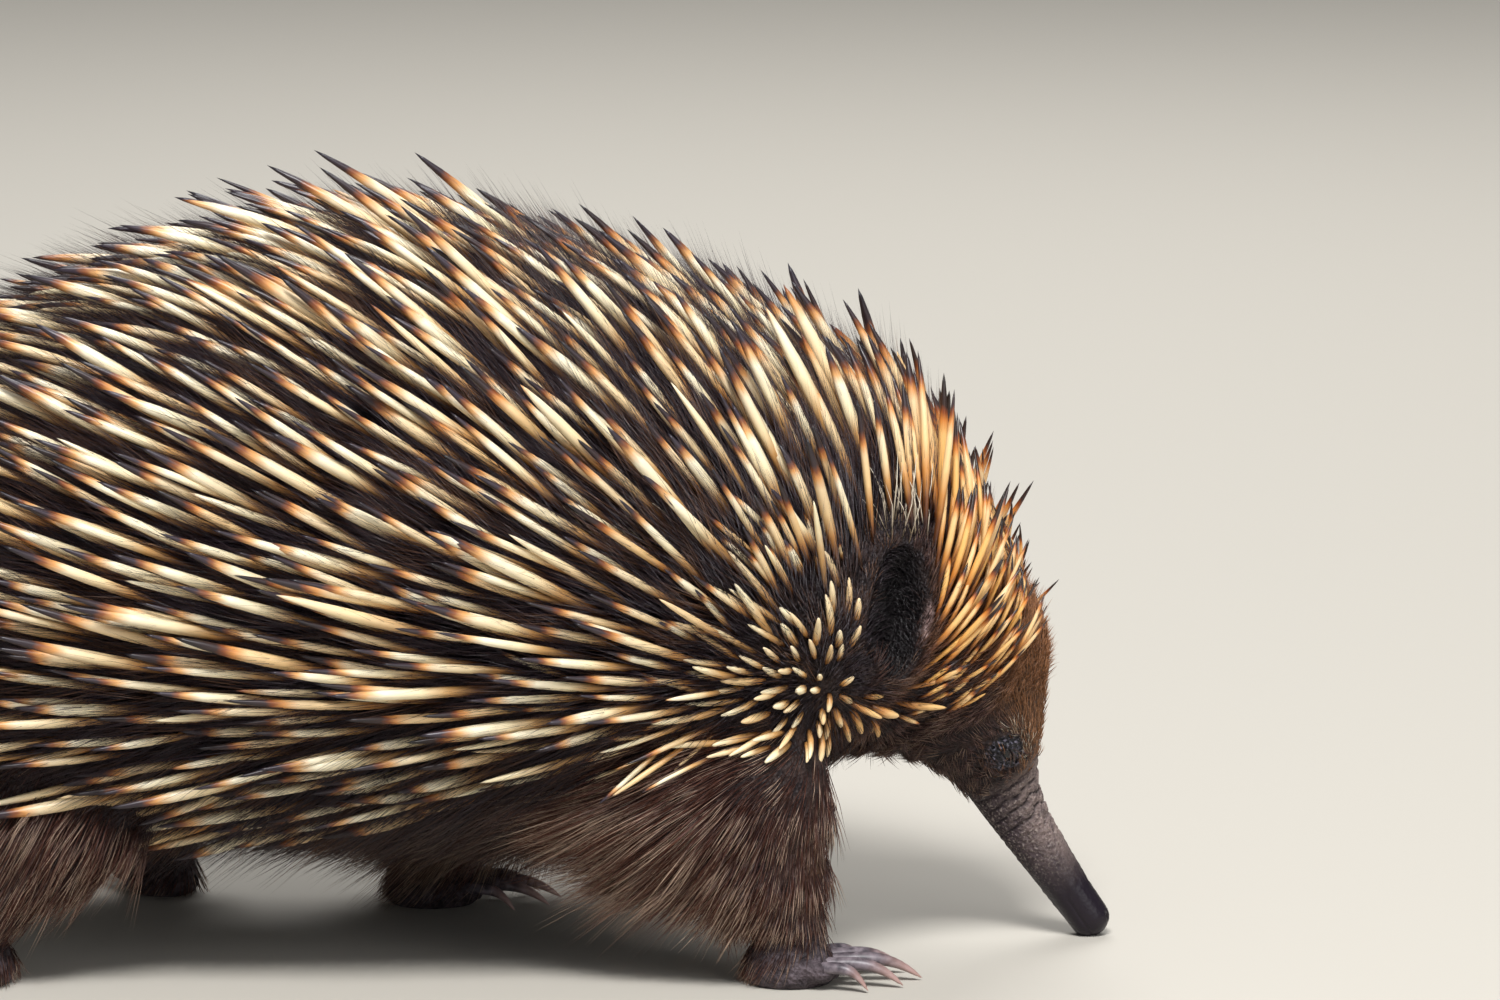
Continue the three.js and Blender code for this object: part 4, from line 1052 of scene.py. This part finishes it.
def grow(name, slot, **values):
    """Grows one piece of the coat from the skin and leaves it as a plain mesh."""
    grower = skin.modifiers.new(name, "NODES")
    grower.node_group = coat_tree
    values = {"girth": "plain", "roll": 3.1} | values
    for item in coat_tree.interface.items_tree:
        key = item.name.replace(" ", "_").lower()
        if item.in_out == "INPUT" and key in values:
            grower[item.identifier] = values[key]
    bpy.context.view_layer.update()
    mesh = bpy.data.meshes.new_from_object(skin.evaluated_get(bpy.context.evaluated_depsgraph_get()))
    skin.modifiers.remove(grower)
    for spent in spent_marks & {a.name for a in mesh.attributes}:
        mesh.attributes.remove(mesh.attributes[spent])
    mesh.name = name
    coat = shown(name, mesh)
    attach(coat, "root")


spine_finish, tree, surface = blank_material("spine horn")
along_spine, tint, shade = (marked(name) for name in ("along", "tint", "shade"))
streak = noise(add("ShaderNodeUVMap", uv_map="OFBake").outputs[0], 2600.0, 3.0)
all_pale = spread(plus(tint, marked("pale")), 0.90, 1.0)
paler = times(all_pale, figure("MULTIPLY_ADD", along_spine, 0.60, -0.20))
band_place = figure("SUBTRACT", along_spine, paler)
band_place = plus(band_place, spread(shade, 0, 1, -0.085, 0.055))
band_place = plus(band_place, spread(streak, 0.3, 0.7, -0.02, 0.02))
bands = add("ShaderNodeValToRGB", {0: band_place})
band_colours = ((0.0, "#2a1914"), (0.15, "#6d4523"), (0.30, "#cc9c60"), (0.45, "#f4e3b9"),
                (0.65, "#faefd2"), (0.73, "#dda76b"), (0.78, "#8c5432"), (0.825, "#372c35"), (1.0, "#21212c"))
ramp = bands.color_ramp
while len(ramp.elements) < len(band_colours):
    ramp.elements.new(0.5)
for element, (at, code) in zip(ramp.elements, band_colours):
    element.position = at
    element.color = colour(code)
warm_share = figure("MAXIMUM", spread(shade, 0.35, 1.0, 0.0, 0.65),
                    times(marked("golden"), spread(shade, 0, 1, 0.6, 1.0)))
amber = blend(1.0, bands.outputs[0], "#eec07b", "MULTIPLY")
fill(surface, {"Base Color": blend(warm_share, bands.outputs[0], amber), "Roughness": 0.36})
spine_rings = [(0.0, 0.42), (0.12, 0.66), (0.3, 0.9), (0.5, 1.0),
               (0.68, 0.91), (0.84, 0.64), (0.945, 0.34), (1.0, 0)]
shared = dict(strand=strand("spine", spine_rings, 6), length="spine_length", lift="spine_lift",
              girth="spine_girth", finish=spine_finish)
grow("spines_back", "spiny_coat", cover="trunk_spines", gap=0.0068, seed=4, width=0.00155,
     vary_length=0.24, vary_lift=0.09, sway=0.10, bend=0.10, **shared)
grow("spines_neck", "spiny_coat", cover="neck_spines", gap=0.0064, seed=5, width=0.0016,
     vary_length=0.2, vary_lift=0.12, sway=0.12, bend=0.10, **shared)
grow("spines_head", "spiny_coat", cover="head_spines", gap=0.0032, seed=6, width=0.00104,
     vary_length=0.25, vary_lift=0.10, sway=0.12, bend=0.16, lift_more=-0.17, **shared)
blunt_rings = [(0.0, 0.6), (0.12, 0.85), (0.38, 1.0), (0.68, 0.88), (0.86, 0.62), (0.96, 0.34), (1.0, 0)]
shared.update(length="whorl_length", lift="whorl_lift", girth="whorl_girth",
              strand=strand("whorl_spine", blunt_rings, 6))
grow("spines_whorl", "spiny_coat", cover="whorl_cover", gap=0.0034, seed=7, width=0.00118,
     vary_length=0.35, vary_lift=0.2, sway=0.3, bend=0.24, **shared)

# The fur between the spines: soft, dark and close, about half as long as they are. It grows in
# tufts of seven hairs, in four pieces from the rump to the front.
fur_finish, tree, surface = blank_material("dark fur")
fur_tone = laid(
    "#120a11",
    (marked("along"), "#30212a"),
    (spread(marked("tint"), 0.74, 1.0, 0.0, 0.75), "#775033"),
    (times(marked("ruddy"), 0.85), "#8c5a34"),
    # Painted shade: fur in the ear's hollow is laid over with one dark tone.
    (marked("ear_hollow"), "#1c1418"))
fill(surface, {"Base Color": fur_tone, "Roughness": 0.42})
fur_tuft = strand("fur_tuft", [(0.0, 0.5), (1.0, 0)], 3, 7, 7.0)
for part, seed in (("rump", 8), ("loin", 9), ("chest", 10), ("front", 11)):
    grow("fur_" + part, "bristly_coat", strand=fur_tuft, cover="fur_" + part, length="fur_length",
         lift="fur_lift", gap=0.0020, seed=seed, width=0.00028, vary_length=0.22, vary_lift=0.18,
         lift_more=0.16, sway=0.32, bend=0.0, finish=fur_finish)

# The bristly hair of legs, elbows, belly, throat and tail: long, stiff and dark brown with paler
# tips. It grows in tufts of four, closest behind the elbows. Low on the body it is painted
# darker, as shade under the belly.
bristle_finish, tree, surface = blank_material("bristle")
along_bristle = marked("along")
pale_tips = times(spread(marked("tint"), 0.5, 0.8), spread(along_bristle, 0.3, 0.75, 0.0, 0.9))
bristle_tone = laid(
    "#200f10",
    (along_bristle, "#6c3d2b"),
    (pale_tips, "#dfc3ab"),
    # Painted shade low on the body.
    (marked("dusky"), "#1c1116"))
fill(surface, {"Base Color": bristle_tone, "Roughness": 0.42})
hair_rings = [(0.0, 0.5), (0.55, 0.36), (1.0, 0)]
bristle_tuft = strand("bristle_tuft", hair_rings, 3, 4, 5.0)
for part, gap, seed in (("foreleg", 0.0015, 12), ("hindleg", 0.0018, 13), ("belly", 0.00195, 14),
                        ("elbow", 0.0012, 18)):
    grow("bristles_" + part, "bristly_coat", strand=bristle_tuft, cover=part + "_cover",
         length="bristle_length", lift="bristle_lift", gap=gap, seed=seed, width=0.00026,
         vary_length=0.3, vary_lift=0.12, sway=0.14, bend=0.14, finish=bristle_finish)

# The face's short fur: brown hairs a few millimetres long that lie flat, up from the beak to the
# brow, with a ruddy front. It thins out round the lids and at the root of the beak.
face_finish, tree, surface = blank_material("face fur")
along_face = marked("along")
face_tone = laid(
    "#22151a",
    (along_face, "#69483f"),
    (spread(marked("tint"), 0.62, 1.0, 0.0, 0.85), "#957a66"),
    (times(marked("ruddy"), spread(along_face, 0, 1, 0.5, 1.0)), "#a06c40"))
fill(surface, {"Base Color": face_tone, "Roughness": 0.45})
face_tuft = strand("face_tuft", [(0.0, 0.5), (0.5, 0.42), (1.0, 0)], 3, 4, 4.0)
grow("face_fur", "face_coat", strand=face_tuft, cover="face_cover", length="face_length",
     lift="face_lift", gap=0.0012, seed=15, width=0.00022, vary_length=0.3, vary_lift=0.1, sway=0.25,
     bend=0.10, finish=face_finish)

# Pale bristles: a few long ones over each ear and the short hairs over the upper lids. They are
# single stiff hairs, rooted in the skin like the spines.
pale_finish, tree, surface = blank_material("pale bristle")
fill(surface, {"Base Color": blend(marked("along"), "#9a8468", "#efe6d2"), "Roughness": 0.4})
pale_hair = strand("pale_hair", hair_rings, 4)
grow("ear_bristles", "spiny_coat", strand=pale_hair, cover="ear_tops", length="ear_hair_length",
     lift="spine_lift", gap=0.0017, seed=16, width=0.00045, vary_length=0.3, vary_lift=0.08, sway=0.36,
     bend=0.3, finish=pale_finish)
grow("lashes", "face_coat", strand=pale_hair, cover="lash_cover", length="face_length",
     lift="bristle_lift", gap=0.0008, seed=17, width=0.00015, vary_length=0.3, vary_lift=0.2,
     lift_more=0.15, sway=0.3, bend=0.2, finish=pale_finish)

# The claws: long flat-sided horn, grey with a pinkish tip, growing out of the toes. Each is a
# tube along a curve that rises from the knuckle and comes down to the ground.
claw_finish, tree, surface = blank_material("claw horn")
growth_lines = noise(add("ShaderNodeTexCoord").outputs["Object"], 420.0, 5.0)
claw_tone = laid(
    "#3e373e",
    (spread(growth_lines, 0.35, 0.65), "#7d7278"),
    (spread(marked("along"), 0.5, 1.0), "#b39087"))
fill(surface, {"Base Color": claw_tone, "Roughness": 0.4, "Normal": bumped(growth_lines, 0.3, 0.0003)})
claw_steps, claw_columns = 15, 12
claw_turns = np.linspace(0, 2 * np.pi, claw_columns, endpoint=False)
along_claw = np.linspace(0, 1, claw_steps)
yet_to_go = 1 - along_claw
pulls = np.stack([yet_to_go ** 3, 3 * along_claw * yet_to_go ** 2,
                  3 * along_claw ** 2 * yet_to_go, along_claw ** 3], 1)
flat_below = np.where(np.sin(claw_turns) > 0, 0.95, 0.6)
for leg in legs:
    thickest = 2.6 if leg["name"].startswith("fore") else 2.2
    for digit, claw_long in enumerate(leg["claws"]):
        root, way = toe_root(leg, digit)
        knuckle = np.array([0, 5.4])
        over = np.array([5 + claw_long * 0.25, 6.3]) * 1.35 - knuckle * 0.35
        curve = pulls @ np.array([knuckle, over, (5 + claw_long * 0.62, 7.13), (5 + claw_long, 0.75)])
        flank = np.array([-way.y, way.x, 0])
        girth = thickest * mix(0.7, 1, min(1, claw_long / 20))
        width = girth * np.sqrt(np.clip(1 - along_claw ** 2.2, 0.004, 1))
        claw_rings = np.zeros((claw_steps, claw_columns, 3))
        for r in range(claw_steps):
            middle = np.array(root) + np.array(way) * curve[r, 0]
            middle[2] = curve[r, 1]
            claw_rings[r] = middle + np.cos(claw_turns)[:, None] * flank * width[r] * 0.95
            claw_rings[r, :, 2] += flat_below * np.sin(claw_turns) * width[r]
        claw_rings[:, :, 2] = np.maximum(claw_rings[:, :, 2], ground_gap)
        name = f"claw_{leg['name']}_{digit + 1}"
        claw = tube(name + "_horn", claw_rings, lambda r, c: (c / claw_columns, r / claw_steps))
        draw_mark(claw.data, "along", np.concatenate([np.repeat(along_claw, claw_columns), [0, 1]]))
        claw.data.transform(to_frame)
        claw.data.shade_smooth()
        claw.data.materials.append(claw_finish)
        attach(claw, "root")
        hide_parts(name)

# The floor and light: a pale studio sweep, one broad soft light above and weaker ones round it.
# They are only the stage, and the world gives a dim cool light from all sides.
floor_finish, tree, surface = blank_material("studio floor")
fill(surface, {"Base Color": colour("#bcb7ad"), "Roughness": 0.8})
sweep = [(-6, 0), (3.2, 0), (3.9, 0.08), (4.4, 0.32), (4.7, 0.8), (4.8, 1.5), (4.8, 5)]
sweep_verts = [(across, back, up) for back, up in sweep for across in (-8, 8)]
sweep_faces = [(2 * i, 2 * i + 1, 2 * i + 3, 2 * i + 2) for i in range(len(sweep) - 1)]
floor_mesh = bpy.data.meshes.new("floor")
floor_mesh.from_pydata(sweep_verts, [], sweep_faces)
floor_mesh.shade_smooth()
floor_mesh.materials.append(floor_finish)
floor = shown("floor", floor_mesh)
lit_spot = Vector((0, 0, 0.1))
for name, spot, wide, power in (
        ("key", (0.1, -1.2, 2.0), 0.7, 62),
        ("fill", (1.6, -1.6, 0.9), 1.4, 12),
        ("back", (0.2, 1.6, 1.7), 1.3, 30)):
    light = bpy.data.lights.new(name, "AREA")
    light.size = wide
    light.energy = power
    lamp = shown(name, light)
    lamp.location = spot
    lamp.rotation_euler = (Vector(spot) - lit_spot).to_track_quat("Z", "Y").to_euler()
world = bpy.data.worlds.new("studio")
world.use_nodes = True
sky = world.node_tree.nodes["Background"]
sky.inputs[0].default_value = (0.92, 0.95, 1.0, 1)
sky.inputs[1].default_value = 0.30
bpy.context.scene.world = world
bpy.context.scene.view_settings.view_transform = "Standard"
